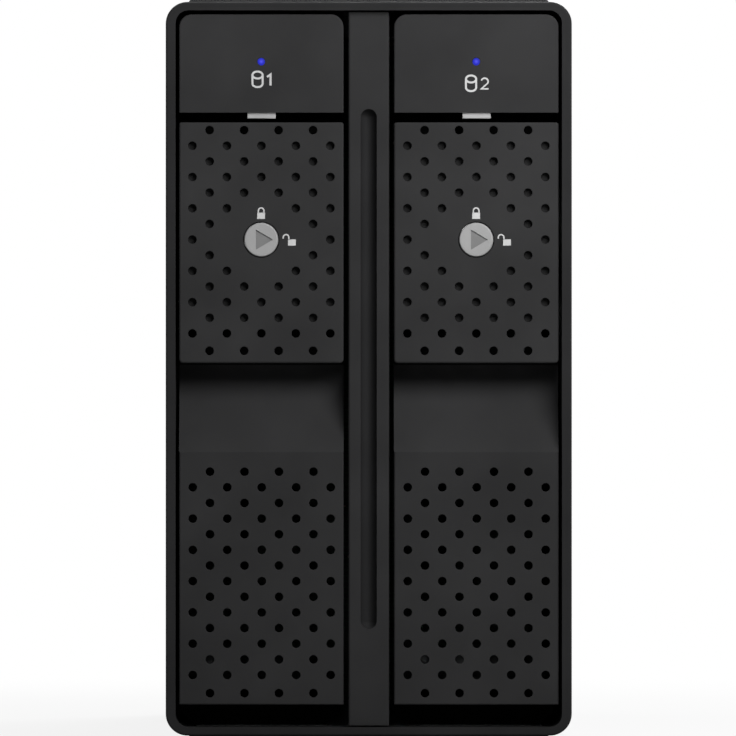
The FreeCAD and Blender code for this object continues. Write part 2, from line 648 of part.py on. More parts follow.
# Trays
def tray_front(number):
    middle = bays[number]
    body = new_body(f"tray_{number}_front")
    tip = lever_low - size.tip_drop
    dip = root(size.swing_radius * size.swing_radius
               - (pivot_z - tip) * (pivot_z - tip))
    side = Drawing(body, "YZ", middle).outline([
        (face_y, tray_low), (tray_rear, tray_low), (tray_rear, tray_top), (face_y, tray_top),
        (face_y, brow_low), (well_y, brow_low),
        (well_y, pivot_z, size.swing_radius, -1), (pivot_y - dip, tip), (face_y, tip)])
    pad(side, size.tray_wide, "both")
    soften(body, size.brow_round, lambda e: runs_along(e, V(0, 1, 0))
           and abs(e.BoundBox.ZMax - float(tray_top)) < 1e-4)
    soften(body, size.edge_round, lambda e: lies_at(e, "Y", face_y)
           and not abs(e.BoundBox.ZMin - float(tip)) < 1e-4, "Chamfer")
    # Hollow from behind, one profile for lower panel, ramp, well and brow
    well_back = well_y + size.tray_skin
    hollow = Drawing(body, "YZ", middle).outline([
        (tray_rear, tray_low + size.tray_sole),
        (face_y + size.tray_skin, tray_low + size.tray_sole),
        (face_y + size.tray_skin, panel_top - 0.3, size.scoop_high * 1.6, 1),
        (well_back, lever_low - 1.6),
        (well_back, brow_low + size.tray_side),
        (face_y + size.tray_skin, brow_low + size.tray_side),
        (face_y + size.tray_skin, tray_top - size.tray_side),
        (tray_rear, tray_top - size.tray_side)])
    pocket(hollow, inner_tray * 2, "both")
    # Finger recess: a ramp that falls away from the panel's crease into the well
    scoop = Drawing(body, "YZ", middle).outline([
        (face_y, panel_top, size.scoop_high * 1.6, 1), (well_y, lever_low - 0.3),
        (well_y, lever_low + 4), (face_y - 1, lever_low + 4), (face_y - 1, panel_top)])
    pocket(scoop, (inner_tray + 0.3) * 2, "both")
    # Hinge lugs, their noses half an octagon round the axis
    root_y = well_y + size.tray_skin / 2
    cut = size.lug_radius * math.tan(math.pi / 8)
    for sign in (-1, 1):
        outer = middle + (inner_tray - size.play) * sign
        lug = Drawing(body, "YZ", outer).outline([
            (root_y, pivot_z - size.lug_radius), (root_y, pivot_z + size.lug_radius),
            (pivot_y - cut, pivot_z + size.lug_radius), (pivot_y - size.lug_radius, pivot_z + cut),
            (pivot_y - size.lug_radius, pivot_z - cut), (pivot_y - cut, pivot_z - size.lug_radius)])
        pad(lug, size.lug_thick, "left" if sign > 0 else "right")
    bore = Drawing(body, "YZ", middle).polygon(
        pivot_y, pivot_z, size.pin_radius + size.pin_fit, around=True)
    pocket(bore, size.tray_wide - size.lever_side, "both")
    # Air slots in the well
    slot = Drawing(body, "XZ", well_y).box(
        middle - size.hole_pitch * 1.5 - 1.8, middle - size.hole_pitch * 1.5 + 1.8,
        pivot_z + 6, brow_low - 5)
    repeat(pocket(slot, size.tray_skin, "rear"), "H_Axis", size.hole_pitch, 4)
    # Brow: slot and guides for the latch, seat for its spring, hole for the light
    tab_half = size.tab_wide / 2 + size.play
    mouth = Drawing(body, "XY", brow_low).box(
        middle - tab_half, middle + tab_half, face_y + size.tab_back - size.play,
        face_y + size.tray_skin + size.play * 2 + size.latch_sheet)
    pocket(mouth, size.tray_side, "up")
    rib_y = face_y + size.tray_skin + size.play * 2 + size.latch_sheet
    rib = Drawing(body, "XZ", rib_y).box(
        middle - size.shoulder_wide / 2, middle + size.shoulder_wide / 2,
        brow_low + size.tray_side, brow_low + size.tray_side + size.shoulder_high)
    pad(rib, 1, "rear")
    seat_z = brow_low + size.tray_side + size.shoulder_high + size.spring_room
    seat = Drawing(body, "XZ", face_y + size.tray_skin).box(
        middle - size.shoulder_wide / 2, middle + size.shoulder_wide / 2, seat_z, seat_z + 0.8)
    pad(seat, size.latch_sheet + size.play * 2 + 1, "rear")
    light = Drawing(body, "XZ", face_y).polygon(
        middle, light_z, size.light_radius + size.lock_fit)
    pocket(light, size.tray_skin, "rear")
    screw_bores(body, middle - half_tray, size.tray_side)
    perforate(body, middle, tray_low + size.panel_mid, size.tray_skin)


def screw_levels():
    return (carrier_low + 22, carrier_top - 18)


def screw_bores(body, left, deep):
    """Two holes in the left wall, for the screws that hold the carrier."""
    bores = Drawing(body, "YZ", left)
    for level in screw_levels():
        bores.polygon((carrier_front + tray_rear) / 2, level, size.screw_radius + size.lock_fit)
    pocket(bores, deep, "right")


def perforate(body, middle, centre, deep, plain=0):
    """Cuts staggered rows of four and five holes through a front wall, round a centre
    row of five. Holes whose centres lie within the plain radius are left out."""
    label = body.Label
    pitch, step_down = float(size.hole_pitch), float(size.row_pitch)
    start = V(0, float(face_y) - 1, 0)
    ring = [V(math.cos(math.pi * k / 2), 0, math.sin(math.pi * k / 2))
            * float(size.hole_radius) for k in range(4)]
    prisms = []
    for level in range(7, -8, -1):
        last = float(size.last_drop) if level == -7 else 0
        for step in (-1.5, -0.5, 0.5, 1.5) if level % 2 else (-2, -1, 0, 1, 2):
            if math.hypot(pitch * step, step_down * level) < float(plain):
                continue
            place = start + V(float(middle) + pitch * step, 0,
                              float(centre) + step_down * level - last)
            outline = Part.makePolygon([place + corner for corner in ring + ring[:1]])
            prisms.append(Part.Face(outline).extrude(V(0, float(deep) + 1.5, 0)))
    holes = doc.addObject("Part::Feature", label + "_holes")
    holes.Shape = Part.makeCompound(prisms)
    body.Label = label + "_blank"
    cut = doc.addObject("Part::Cut", label)
    cut.Label = label
    cut.Base = body
    cut.Tool = holes
    pieces[pieces.index(body)] = cut
    return cut


def tray_carrier(number):
    """Folded plate with two flanges and four runners, screwed to the drive's underside."""
    middle = bays[number]
    body = new_body(f"tray_{number}_carrier")
    thick = size.carrier_thick
    left, face = middle + carrier_left, middle + plate_face
    inner, right = middle + runner_left, middle + carrier_right
    section = Drawing(body, "XZ", carrier_front).outline([
        (left, carrier_low), (face, carrier_low), (face, flange_low), (inner, flange_low),
        (inner, carrier_low), (right, carrier_low), (right, flange_low + thick),
        (face, flange_low + thick), (face, flange_top - thick), (right, flange_top - thick),
        (right, carrier_top), (inner, carrier_top), (inner, flange_top), (face, flange_top),
        (face, carrier_top), (left, carrier_top)])
    pad(section, size.carrier_long, "rear")
    window = Drawing(body, "YZ", left).window(
        carrier_front + 12, carrier_front + 12 + size.window_wide,
        drive_mid - size.window_high / 2, drive_mid + size.window_high / 2,
        size.window_wide / 5)
    repeat(pocket(window, thick, "right"), "H_Axis", size.window_pitch, 5)
    holes = Drawing(body, "YZ", left)
    for along in (0, 1):
        for across in (-0.5, 0.5):
            holes.circle(drive_rear - size.drive_hole_end - size.drive_hole_along * along,
                         drive_mid + size.drive_hole_across * across, size.drive_hole_radius)
    pocket(holes, thick, "right")
    screw_bores(body, left, thick)


def light_pipe(number):
    middle = bays[number]
    body = new_body(f"tray_{number}_light_pipe")
    rod_start = face_y + size.tray_skin + size.lock_fit
    lens = Drawing(body, "XZ", face_y).polygon(middle, light_z, size.light_radius)
    pad(lens, size.tray_skin + size.pipe_radius, "rear")
    half = size.pipe_radius
    rod = Drawing(body, "XZ", rod_start).box(middle - half, middle + half,
                                             light_z - half, light_z + half)
    pad(rod, backplane_y - 1.6 - rod_start, "rear")
    # Two clips hang the pipe from the carrier's upper flange
    for place in (carrier_front + 10, carrier_rear - 10):
        clip = Drawing(body, "XZ", place).box(
            middle - size.pipe_radius, middle + size.pipe_radius, light_z,
            flange_top - size.carrier_thick)
        pad(clip, 4, "rear")


def hinge_pins(number):
    middle = bays[number]
    body = new_body(f"tray_{number}_hinge_pins")
    for sign in (-1, 1):
        start = middle + (inner_tray - size.play - size.lug_thick) * sign
        pin = Drawing(body, "YZ", start).polygon(pivot_y, pivot_z, size.pin_radius, 12)
        pad(pin, size.lug_thick + size.lever_side, "right" if sign > 0 else "left")


def tray_screws(number):
    body = new_body(f"tray_{number}_screws")
    left = bays[number] - half_tray
    shanks = Drawing(body, "YZ", left + size.play)
    for level in screw_levels():
        shanks.polygon((carrier_front + tray_rear) / 2, level, size.screw_radius)
    pad(shanks, size.tray_side + size.carrier_thick - size.play, "right")


def latch_spring(number):
    """A folded strip of spring wire between the latch's shoulder and its seat."""
    middle = bays[number]
    body = new_body(f"tray_{number}_latch_spring")
    low = brow_low + size.tray_side + size.play / 2 + size.shoulder_high
    high = brow_low + size.tray_side + size.shoulder_high + size.spring_room
    folds, wire, reach = 5, 0.3, 1.8
    rise = (high - low - wire) / folds
    for k in range(folds):
        side = reach if k % 2 else -reach
        start, end = low + rise * k, low + rise * (k + 1)
        leg = Drawing(body, "XZ", face_y + size.tray_skin + size.play).outline([
            (middle - side, end), (middle + side, start),
            (middle + side, start + wire), (middle - side, end + wire)])
        pad(leg, size.latch_sheet, "rear")


# Levers, latches and locks
def lever_handle(number):
    middle = bays[number]
    body = new_body(f"lever_{number}_handle")
    rear = face_y + size.lever_deep
    block = Drawing(body, "YZ", middle).outline([
        (face_y, lever_low), (rear - size.nose_cut, lever_low),
        (rear, lever_low + size.nose_cut), (rear, lever_top), (face_y, lever_top)])
    pad(block, size.tray_wide, "both")
    soften(body, size.lever_round, lambda e: runs_along(e, V(0, 1, 0))
           and abs(e.BoundBox.ZMin - float(lever_low)) < 1e-4)
    soften(body, size.edge_round, lambda e: lies_at(e, "Y", face_y), "Chamfer")
    half = half_tray - size.lever_side
    hollow = Drawing(body, "XZ", face_y + size.lever_skin).box(
        middle - half, middle + half, lever_low - 1, lever_top + 1)
    pocket(hollow, size.lever_deep, "rear")
    hub = Drawing(body, "XZ", face_y + size.lever_skin).polygon(middle, lock_z, size.hub_radius)
    pad(hub, size.hub_deep - size.lever_skin, "rear")
    bore = Drawing(body, "XZ", face_y).circle(middle, lock_z, size.lock_radius + size.lock_fit)
    pocket(bore, size.hub_deep, "rear")
    pins = Drawing(body, "YZ", middle).polygon(
        pivot_y, pivot_z, size.pin_radius + size.pin_fit, around=True)
    pocket(pins, size.tray_wide, "both")
    perforate(body, middle, lock_z, size.lever_skin, size.plain_radius)


def lever_backplate(number):
    """Steel sheet behind all rows of the lever but the top one and the last two."""
    middle = bays[number]
    body = new_body(f"lever_{number}_back_plate")
    half = half_tray - size.lever_side - size.play / 2
    plate = Drawing(body, "XZ", face_y + size.lever_skin)
    plate.box(middle - half, middle + half, lock_z - size.row_pitch * 5.5,
              lock_z + size.row_pitch * 6.5)
    plate.polygon(middle, lock_z, size.hub_radius + size.lock_fit)
    pad(plate, size.plate_thick, "rear")


def latch_slider(number):
    middle = bays[number]
    body = new_body(f"latch_{number}_slider")
    half = size.tab_wide / 2
    low = brow_low - size.tab_show
    stem_y = face_y + size.tray_skin + size.play
    tab = Drawing(body, "XZ", face_y + size.tab_back).box(
        middle - half, middle + half, low, brow_low + size.play)
    pad(tab, size.tray_skin - size.tab_back + size.play + size.latch_sheet, "rear")
    rest = brow_low + size.tray_side + size.play / 2
    wide = size.shoulder_wide / 2
    stem = Drawing(body, "XZ", stem_y).outline([
        (middle - half, low), (middle + half, low), (middle + half, rest),
        (middle + wide, rest), (middle + wide, rest + size.shoulder_high),
        (middle - wide, rest + size.shoulder_high), (middle - wide, rest),
        (middle - half, rest)])
    pad(stem, size.latch_sheet, "rear")


def lock_core(number):
    middle = bays[number]
    body = new_body(f"lock_{number}_core")
    barrel = Drawing(body, "XZ", face_y).circle(middle, lock_z, size.lock_radius)
    pad(barrel, size.hub_deep + size.play, "rear")
    soften(body, 0.3, lambda e: lies_at(e, "Y", face_y), "Chamfer")
    left = middle - size.key_long * 0.35
    key = Drawing(body, "XZ", face_y).outline([
        (left, lock_z - size.key_high / 2), (left + size.key_long, lock_z),
        (left, lock_z + size.key_high / 2)])
    pocket(key, size.key_deep, "rear")


def lock_cam(number):
    middle = bays[number]
    body = new_body(f"lock_{number}_cam")
    half = size.cam_wide / 2
    plate = Drawing(body, "XZ", face_y + size.hub_deep + size.play)
    plate.window(middle - half, middle + size.cam_long, lock_z - half, lock_z + half, half / 2)
    pad(plate, size.cam_thick, "rear")


# Electronics
def backplane_board():
    body = new_body("backplane_board")
    half = size.cage_half
    board = Drawing(body, "XZ", backplane_y).box(-half, half, floor_top + size.play,
                                                 roof_under - size.play)
    pad(board, size.board_thick, "rear")
    window = Drawing(body, "XZ", backplane_y)
    for middle in bays.values():
        window.window(middle - 6, middle + 9, fan_z - 24, fan_z - 8, 2)
    repeat(pocket(window, size.board_thick, "rear"), "V_Axis", 20, 2)


def drive_connector(number):
    """Data and power tongue of one bay, near the drive's underside."""
    middle = bays[number]
    body = new_body(f"drive_connector_{number}")
    left = middle + plate_face + 3
    right = left + size.connector_thick
    low = drive_mid - size.connector_long * 1.15
    high = low + size.connector_long
    deep = size.backplane_gap
    shell = Drawing(body, "XZ", backplane_y - deep).box(left, right, low, high)
    pad(shell, deep, "rear")
    mouth = Drawing(body, "XZ", backplane_y - deep).box(left + 0.8, right - 0.8, low + 1.2,
                                                        high - 1.2)
    pocket(mouth, deep - 1.5, "rear")
    tongue_mid = (left + right) / 2
    tongue = Drawing(body, "XZ", backplane_y - deep + 0.5)
    tongue.box(tongue_mid - 0.5, tongue_mid + 0.5, low + 2.2, low + 21)
    tongue.box(tongue_mid - 0.5, tongue_mid + 0.5, low + 23, high - 2.2)
    pad(tongue, deep - 1, "rear")


def status_leds():
    body = new_body("status_leds")
    chips = Drawing(body, "XZ", backplane_y - 1)
    for middle in bays.values():
        chips.box(middle - 1, middle + 1, light_z - 0.8, light_z + 0.8)
    pad(chips, 1, "rear")


def main_board():
    body = new_body("main_board")
    half = size.cage_half - size.board_edge
    board = Drawing(body, "XY", board_z).box(-half, half, board_front, board_rear)
    pad(board, size.board_thick, "up")


def board_standoffs():
    body = new_body("board_standoffs")
    posts = Drawing(body, "XY", floor_top)
    for side in (-1, 1):
        for end in (board_front + size.post_in, board_rear - size.post_in):
            posts.polygon((size.cage_half - size.post_in) * side, end, size.post_radius, 6)
    pad(posts, board_z - floor_top, "up")


def board_connector():
    """Joins the main board to the backplane."""
    body = new_body("board_connector")
    start = backplane_y + size.board_thick
    block = Drawing(body, "XZ", start).box(-20, 20, board_top, board_top + 6)
    pad(block, 9, "rear")


def controller_chip():
    body = new_body("controller_chip")
    middle = board_front + size.chip_in
    chip = Drawing(body, "XY", board_top).box(
        -size.chip_wide / 2, size.chip_wide / 2,
        middle - size.chip_long / 2, middle + size.chip_long / 2)
    pad(chip, size.chip_high, "up")


def heat_sink():
    body = new_body("heat_sink")
    middle, half = board_front + size.chip_in, size.sink_wide / 2
    start, end = middle - size.sink_long / 2, middle + size.sink_long / 2
    low = board_top + size.chip_high
    base = Drawing(body, "XY", low).box(-half, half, start, end)
    pad(base, size.sink_base, "up")
    fin = Drawing(body, "XY", low + size.sink_base).box(
        -half, -half + size.fin_thick, start, end)
    gaps = 6
    repeat(pad(fin, size.fin_high, "up"), "H_Axis", (size.sink_wide - size.fin_thick) / gaps,
           gaps + 1)


def usb_c_port():
    body = new_body("usb_c_port")
    low, high = board_top, board_top + size.usb_high
    middle, half = (low + high) / 2, size.usb_wide / 2
    wall, left, right = size.usb_wall, -size.usb_side - half, -size.usb_side + half
    start, end = board_rear - 6, panel_front - 0.7
    shell = Drawing(body, "XZ", start).window(left, right, low, high, 1)
    pad(shell, end - start, "rear")
    mouth = Drawing(body, "XZ", end).window(
        left + wall, right - wall, low + wall, high - wall, 0.85)
    pocket(mouth, end - start - 1.5, "front")
    tongue = Drawing(body, "XZ", start + 1).box(
        left + wall * 4, right - wall * 4, middle - 0.35, middle + 0.35)
    pad(tongue, end - start - 1.8, "rear")


def dc_jack():
    body = new_body("dc_jack")
    side = -size.jack_side
    block = Drawing(body, "XZ", board_rear - 12).box(
        side - size.jack_half, side + size.jack_half, board_top, port_z + size.jack_half)
    pad(block, 12, "rear")
    collar = Drawing(body, "XZ", board_rear).polygon(side, port_z, size.jack_radius, SMOOTH)
    pad(collar, rear_y - board_rear - size.cap_shy, "rear")
    bore = Drawing(body, "XZ", rear_y - size.cap_shy).polygon(
        side, port_z, size.jack_bore, SMOOTH, around=True)
    pocket(bore, 10, "front")
    pin = Drawing(body, "XZ", board_rear - 8).polygon(side, port_z, size.jack_pin)
    pad(pin, 9.5, "rear")


def switch_housing(name, side, half, bore):
    """Block on the main board behind a button, with a bore for its stem."""
    body = new_body(name)
    block = Drawing(body, "XZ", board_rear - 11).box(side - half, side + half, board_top,
                                                     port_z + half)
    pad(block, 8.5, "rear")
    hole = Drawing(body, "XZ", board_rear - 2.5).box(side - bore, side + bore,
                                                     port_z - bore, port_z + bore)
    pocket(hole, 6, "front")


def pressed_button(name, side, radius, stem):
    """Button cap in the panel with a stem in its switch."""
    body = new_body(name)
    start = panel_front - size.cap_inside
    cap = Drawing(body, "XZ", start).polygon(side, port_z, radius, SMOOTH)
    pad(cap, rear_y - size.cap_shy - start, "rear")
    rod = Drawing(body, "XZ", start).box(side - stem, side + stem, port_z - stem, port_z + stem)
    pad(rod, size.stem_long, "front")
    flange = Drawing(body, "XZ", start).box(side - radius, side + radius,
                                            port_z - radius, port_z + radius)
    pad(flange, size.cap_inside - size.play, "rear")


def mode_dial():
    body = new_body("mode_dial")
    side, start, end = size.dial_side, panel_front - size.cap_inside, rear_y - size.dial_shy
    knob = Drawing(body, "XZ", start).polygon(side, port_z, size.dial_radius, SMOOTH)
    pad(knob, end - start, "rear")
    rod = Drawing(body, "XZ", start).polygon(side, port_z, 1.2)
    pad(rod, size.stem_long, "front")
    slot = Drawing(body, "XZ", end).box(side - 0.45, side + 0.45,
                                        port_z - size.dial_radius * 0.7,
                                        port_z + size.dial_radius * 0.8)
    pocket(slot, 1, "front")


# Rear
def rear_panel():
    body = new_body("rear_panel")
    plate = Drawing(body, "XZ", panel_front).rounded(
        -sleeve_half, sleeve_half, base_z + size.sleeve_inset, top_z - size.sleeve_inset,
        size.corner_round - size.sleeve_inset)
    pad(plate, size.panel_thick, "rear")
    soften(body, 0.6, lambda e: lies_at(e, "Y", rear_y), "Chamfer")
    # Two locating ribs inside the sleeve
    for low, high in ((inner_low + size.play, inner_low + 1.4),
                      (inner_top - 1.4, inner_top - size.play)):
        rib = Drawing(body, "XZ", panel_front).box(-8, 8, low, high)
        pad(rib, 2, "front")
    fan_grille(body)
    holes = Drawing(body, "XZ", panel_front)
    for side, radius in ((-size.jack_side, size.jack_radius), (size.set_side, size.set_radius),
                         (size.dial_side, size.dial_radius), (size.power_side, size.power_radius)):
        holes.polygon(side, port_z, radius + size.play, SMOOTH, around=True)
    reach = size.usb_wide / 2 + size.play
    holes.window(-size.usb_side - reach, -size.usb_side + reach, board_top - size.play,
                 board_top + size.usb_high + size.play, 1)
    reach, low = size.cord_slot / 2, port_z + size.cord_slot_up - size.cord_slot_high / 2
    holes.window(-size.jack_side - reach, -size.jack_side + reach, low,
                 low + size.cord_slot_high, 0.6)
    for x, z in panel_screw_places() + fan_screw_places():
        holes.polygon(x, z, size.screw_radius + size.lock_fit)
    pocket(holes, size.panel_thick, "rear")
    sinks = Drawing(body, "XZ", rear_y)
    for x, z in panel_screw_places() + fan_screw_places():
        sinks.polygon(x, z, size.head_radius + size.play)
    pocket(sinks, size.head_deep, "front")


def panel_screw_places():
    low, high = floor_top + size.ear_high / 2, roof_under - size.ear_high / 2
    return [(size.ear_side * side, level) for level in (low, high) for side in (-1, 1)]


def fan_screw_places():
    half = size.fan_hole_pitch / 2
    return [(dim(x) * half, fan_z + half * z) for x in (-1, 1) for z in (-1, 1)]


def lug_span(level, up):
    """Lower and upper edge of the lugs that take the rear panel's screws."""
    return (level, level + size.ear_high) if up > 0 else (level - size.ear_high, level)


def fan_grille(body):
    """Upright slots whose ends follow the fan's duct, with a bar across the middle."""
    slots = Drawing(body, "XZ", panel_front)
    reach = size.fan_bore - size.play
    for k in range(-5, 6):
        middle = size.grille_pitch * k
        left, right = middle - size.grille_slot / 2, middle + size.grille_slot / 2
        far = left if k < 0 else right
        tall = root(reach * reach - far * far)
        for up in (-1, 1):
            low, high = size.grille_bar / 2, tall
            if up < 0:
                low, high = -tall, -size.grille_bar / 2
            slots.box(left, right, fan_z + low, fan_z + high)
    pocket(slots, size.panel_thick, "rear")


def fan_frame():
    body = new_body("fan_frame")
    half = size.fan_size / 2
    ring = Drawing(body, "XZ", fan_front).window(-half, half, fan_z - half, fan_z + half, 2)
    ring.polygon(0, fan_z, size.fan_bore, 32)
    pad(ring, size.fan_deep, "rear")
    holes = Drawing(body, "XZ", fan_front)
    for x, z in fan_screw_places():
        holes.polygon(x, z, size.screw_radius + size.lock_fit)
    pocket(holes, size.fan_deep, "rear")
    # Motor base on four struts at the outlet side
    start, thick = panel_front - size.strut_thick, size.strut_thick
    base = Drawing(body, "XZ", start, (0, fan_z)).polygon(0, 0, size.fan_hub, 24)
    pad(base, thick, "rear")
    side, near, far = size.strut_wide / 2, size.fan_hub - 1, size.fan_bore + 0.3
    uprights = Drawing(body, "XZ", start, (0, fan_z))
    uprights.box(-side, side, near, far).box(-side, side, -far, -near)
    pad(uprights, thick, "rear")
    levels = Drawing(body, "XZ", start, (0, fan_z))
    levels.box(near, far, -side, side).box(-far, -near, -side, side)
    pad(levels, thick, "rear")
    axle = Drawing(body, "XZ", start, (0, fan_z)).polygon(0, 0, size.axle_radius, 12)
    pad(axle, size.axle_long, "front")


def fan_rotor():
    """Hub with seven pitched blades, each on a flat of its own."""
    body = new_body("fan_rotor")
    axis = (0, fan_z)
    deep = size.fan_deep - 5
    front = fan_front + 1.5
    flats = 3 * FAN_BLADES
    hub = Drawing(body, "XZ", front, axis).polygon(0, 0, size.fan_hub, flats)
    pad(hub, deep, "rear")
    bore = Drawing(body, "XZ", front + deep, axis).polygon(
        0, 0, size.axle_radius + size.axle_fit, flats)
    pocket(bore, deep - 1.5, "front")
    root_x = size.fan_hub * math.cos(math.pi / flats) - 0.5
    blade = Drawing(body, "YZ", root_x, (front + deep / 2, fan_z))
    tilt = math.radians(BLADE_TILT)
    along = (size.blade_chord / 2 * math.sin(tilt), size.blade_chord / 2 * math.cos(tilt))
    across = (0.5 * math.cos(tilt), -0.5 * math.sin(tilt))
    blade.outline([(along[0] * p + across[0] * q, along[1] * p + across[1] * q)
                   for p, q in ((-1, -1), (1, -1), (1, 1), (-1, 1))])
    reach = size.fan_bore - size.blade_gap
    tip = root(reach * reach - along[1] * along[1])
    vane = pad(blade, tip - root_x, "right")
    ring = body.newObject("PartDesign::PolarPattern", "fan_blades")
    ring.Originals = [vane]
    ring.Axis = (hub.sketch, ["N_Axis"])
    ring.Angle = 360
    ring.Occurrences = FAN_BLADES
    body.Tip = ring


def screws(name, places, long):
    """Flat-headed screws put in from the rear, flush with the panel."""
    body = new_body(name)
    heads = Drawing(body, "XZ", rear_y - 0.1)
    shanks = Drawing(body, "XZ", rear_y - 0.1)
    for x, z in places:
        heads.polygon(x, z, size.head_radius)
        shanks.polygon(x, z, size.screw_radius)
    pad(heads, size.head_deep - 0.1, "front")
    pad(shanks, long, "front")


def rubber_feet():
    body = new_body("rubber_feet")
    pads = Drawing(body, "XY", 0)
    for side in (-1, 1):
        for end in (front_y + size.foot_end, rear_y - size.foot_end):
            pads.polygon(size.foot_side * side, end, size.foot_radius, SMOOTH)
    pad(pads, land_low, "up")


front_bezel()
center_column()
outer_sleeve()
cage_plate("cage_floor", cage_low, *lug_span(floor_top, 1))
cage_plate("cage_roof", roof_under, *lug_span(roof_under, -1))
cage_divider()
guides("lower_guides", floor_top, carrier_low + size.groove_deep - size.groove_play, True)
guides("upper_guides", roof_under, carrier_top - size.groove_deep + size.groove_play, False)
for bay in bays:
    tray_front(bay)
    tray_carrier(bay)
    light_pipe(bay)
    hinge_pins(bay)
    tray_screws(bay)
    latch_spring(bay)
    lever_handle(bay)
    lever_backplate(bay)
    latch_slider(bay)
    lock_core(bay)
    lock_cam(bay)
    drive_connector(bay)
backplane_board()
status_leds()
main_board()
board_standoffs()
board_connector()
controller_chip()
heat_sink()
usb_c_port()
dc_jack()
switch_housing("power_switch", size.power_side, 6, 1.7)
switch_housing("mode_switch", size.dial_side, 4.5, 1.4)
switch_housing("set_switch", size.set_side, 3, 0.9)
pressed_button("power_button", size.power_side, size.power_radius, 1.5)
pressed_button("set_button", size.set_side, size.set_radius, 0.8)
mode_dial()
rear_panel()
fan_frame()
fan_rotor()
screws("fan_screws", fan_screw_places(), 10)
screws("rear_panel_screws", panel_screw_places(), 5)
rubber_feet()
doc.recompute()

# Nothing is written unless every feature and every piece is sound
for item in doc.Objects:
    if "Invalid" in item.State or "Error" in item.State:
        raise RuntimeError(f"{item.Label} failed: {item.State}")
for piece in pieces:
    if piece.Shape.isNull() or not piece.Shape.isValid() or not piece.Shape.Solids:
        raise RuntimeError(f"{piece.Label} is not a sound solid")

os.makedirs("parts", exist_ok=True)
for piece in pieces:
    piece.Shape.exportStep(f"parts/{piece.Label}.step")
    print(f"{piece.Label}: {len(piece.Shape.Solids)} solid, {piece.Shape.Volume:.0f} mm3")
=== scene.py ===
# %% [markdown]
# A drive enclosure with two removable trays, dressed for a studio picture.
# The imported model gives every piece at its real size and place. This lesson loads it, looks at it,
# and then models the pieces that are seen from close by, one at a time.

# %% Load the frame
import math

import bpy
from mathutils import Matrix, Vector


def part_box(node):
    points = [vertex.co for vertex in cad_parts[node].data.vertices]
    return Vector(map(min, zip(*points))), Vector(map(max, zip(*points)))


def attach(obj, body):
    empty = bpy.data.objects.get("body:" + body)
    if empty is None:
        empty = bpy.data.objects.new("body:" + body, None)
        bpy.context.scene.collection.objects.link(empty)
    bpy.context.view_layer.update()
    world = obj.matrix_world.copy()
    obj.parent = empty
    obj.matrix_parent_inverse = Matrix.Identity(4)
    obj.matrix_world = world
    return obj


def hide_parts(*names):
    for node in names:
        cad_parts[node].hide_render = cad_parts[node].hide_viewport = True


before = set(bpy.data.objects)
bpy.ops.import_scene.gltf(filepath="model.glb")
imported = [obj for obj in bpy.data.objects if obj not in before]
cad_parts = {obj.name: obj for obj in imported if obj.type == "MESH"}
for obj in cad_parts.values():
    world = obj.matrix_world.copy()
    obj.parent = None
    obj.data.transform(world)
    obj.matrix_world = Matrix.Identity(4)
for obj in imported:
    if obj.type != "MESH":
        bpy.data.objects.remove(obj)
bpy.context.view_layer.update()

# %% [markdown]
# Blender works in metres and the enclosure is measured in millimetres, so sizes are written as
# a number times MM. The two trays are twins: the second lies one tray pitch to the right. Boxes of
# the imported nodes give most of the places, so the new pieces fit the ones that stay.

# %% Units and shared places
MM = 0.001
BAYS = (1, 2)
tray_low, tray_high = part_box("tray_1_front")
lever_low, lever_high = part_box("lever_1_handle")
bezel_low, bezel_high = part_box("front_bezel")
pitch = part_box("tray_2_front")[0].x - tray_low.x
face = tray_low.y
middle = (tray_low.x + tray_high.x) / 2
sleeve_low, sleeve_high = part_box("outer_sleeve")
panel_low, panel_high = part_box("rear_panel")
PANEL_THICK = 2.5 * MM
panel_front = panel_high.y - PANEL_THICK
print("tray pitch", round(pitch / MM, 2), "mm, tray face at", round(face / MM, 2), "mm")

# %% [markdown]
# The pieces are modelled the way it is done by hand: add a primitive, shape it in edit mode,
# finish it with modifiers. These helpers are the handful of moves that every piece needs.
# Everything is deselected first, because an operator acts on all that is selected.

# %% Helpers that add and place
def start_clean():
    if bpy.context.object and bpy.context.object.mode != "OBJECT":
        bpy.ops.object.mode_set(mode="OBJECT")
    bpy.ops.object.select_all(action="DESELECT")


def choose(*pieces):
    start_clean()
    for piece in pieces:
        piece.select_set(True)
    bpy.context.view_layer.objects.active = pieces[0]


def place_in_mesh(piece):
    choose(piece)
    bpy.ops.object.transform_apply(location=True, rotation=True, scale=True)
    return piece


def block(name, low, high):
    """A box from its lowest to its highest corner."""
    low, high = Vector(low), Vector(high)
    start_clean()
    bpy.ops.mesh.primitive_cube_add(size=1, location=(low + high) / 2)
    piece = bpy.context.object
    piece.name = name
    piece.scale = high - low
    return place_in_mesh(piece)


TURNS = {"X": (0, math.pi / 2, 0), "Y": (math.pi / 2, 0, 0), "Z": (0, 0, 0)}


def rod(name, centre, radius, length, axis="Y", sides=48):
    """A round bar with its middle at centre."""
    start_clean()
    bpy.ops.mesh.primitive_cylinder_add(
        vertices=sides, radius=radius, depth=length, location=centre, rotation=TURNS[axis])
    piece = bpy.context.object
    piece.name = name
    return place_in_mesh(piece)


# %% [markdown]
# A moulded section, such as the tray's finger recess, starts as a flat outline that is pulled
# through the piece's width. The outline starts as a circle with a point for each corner.
# Soft edges are bevels, on edges that are picked by their place.

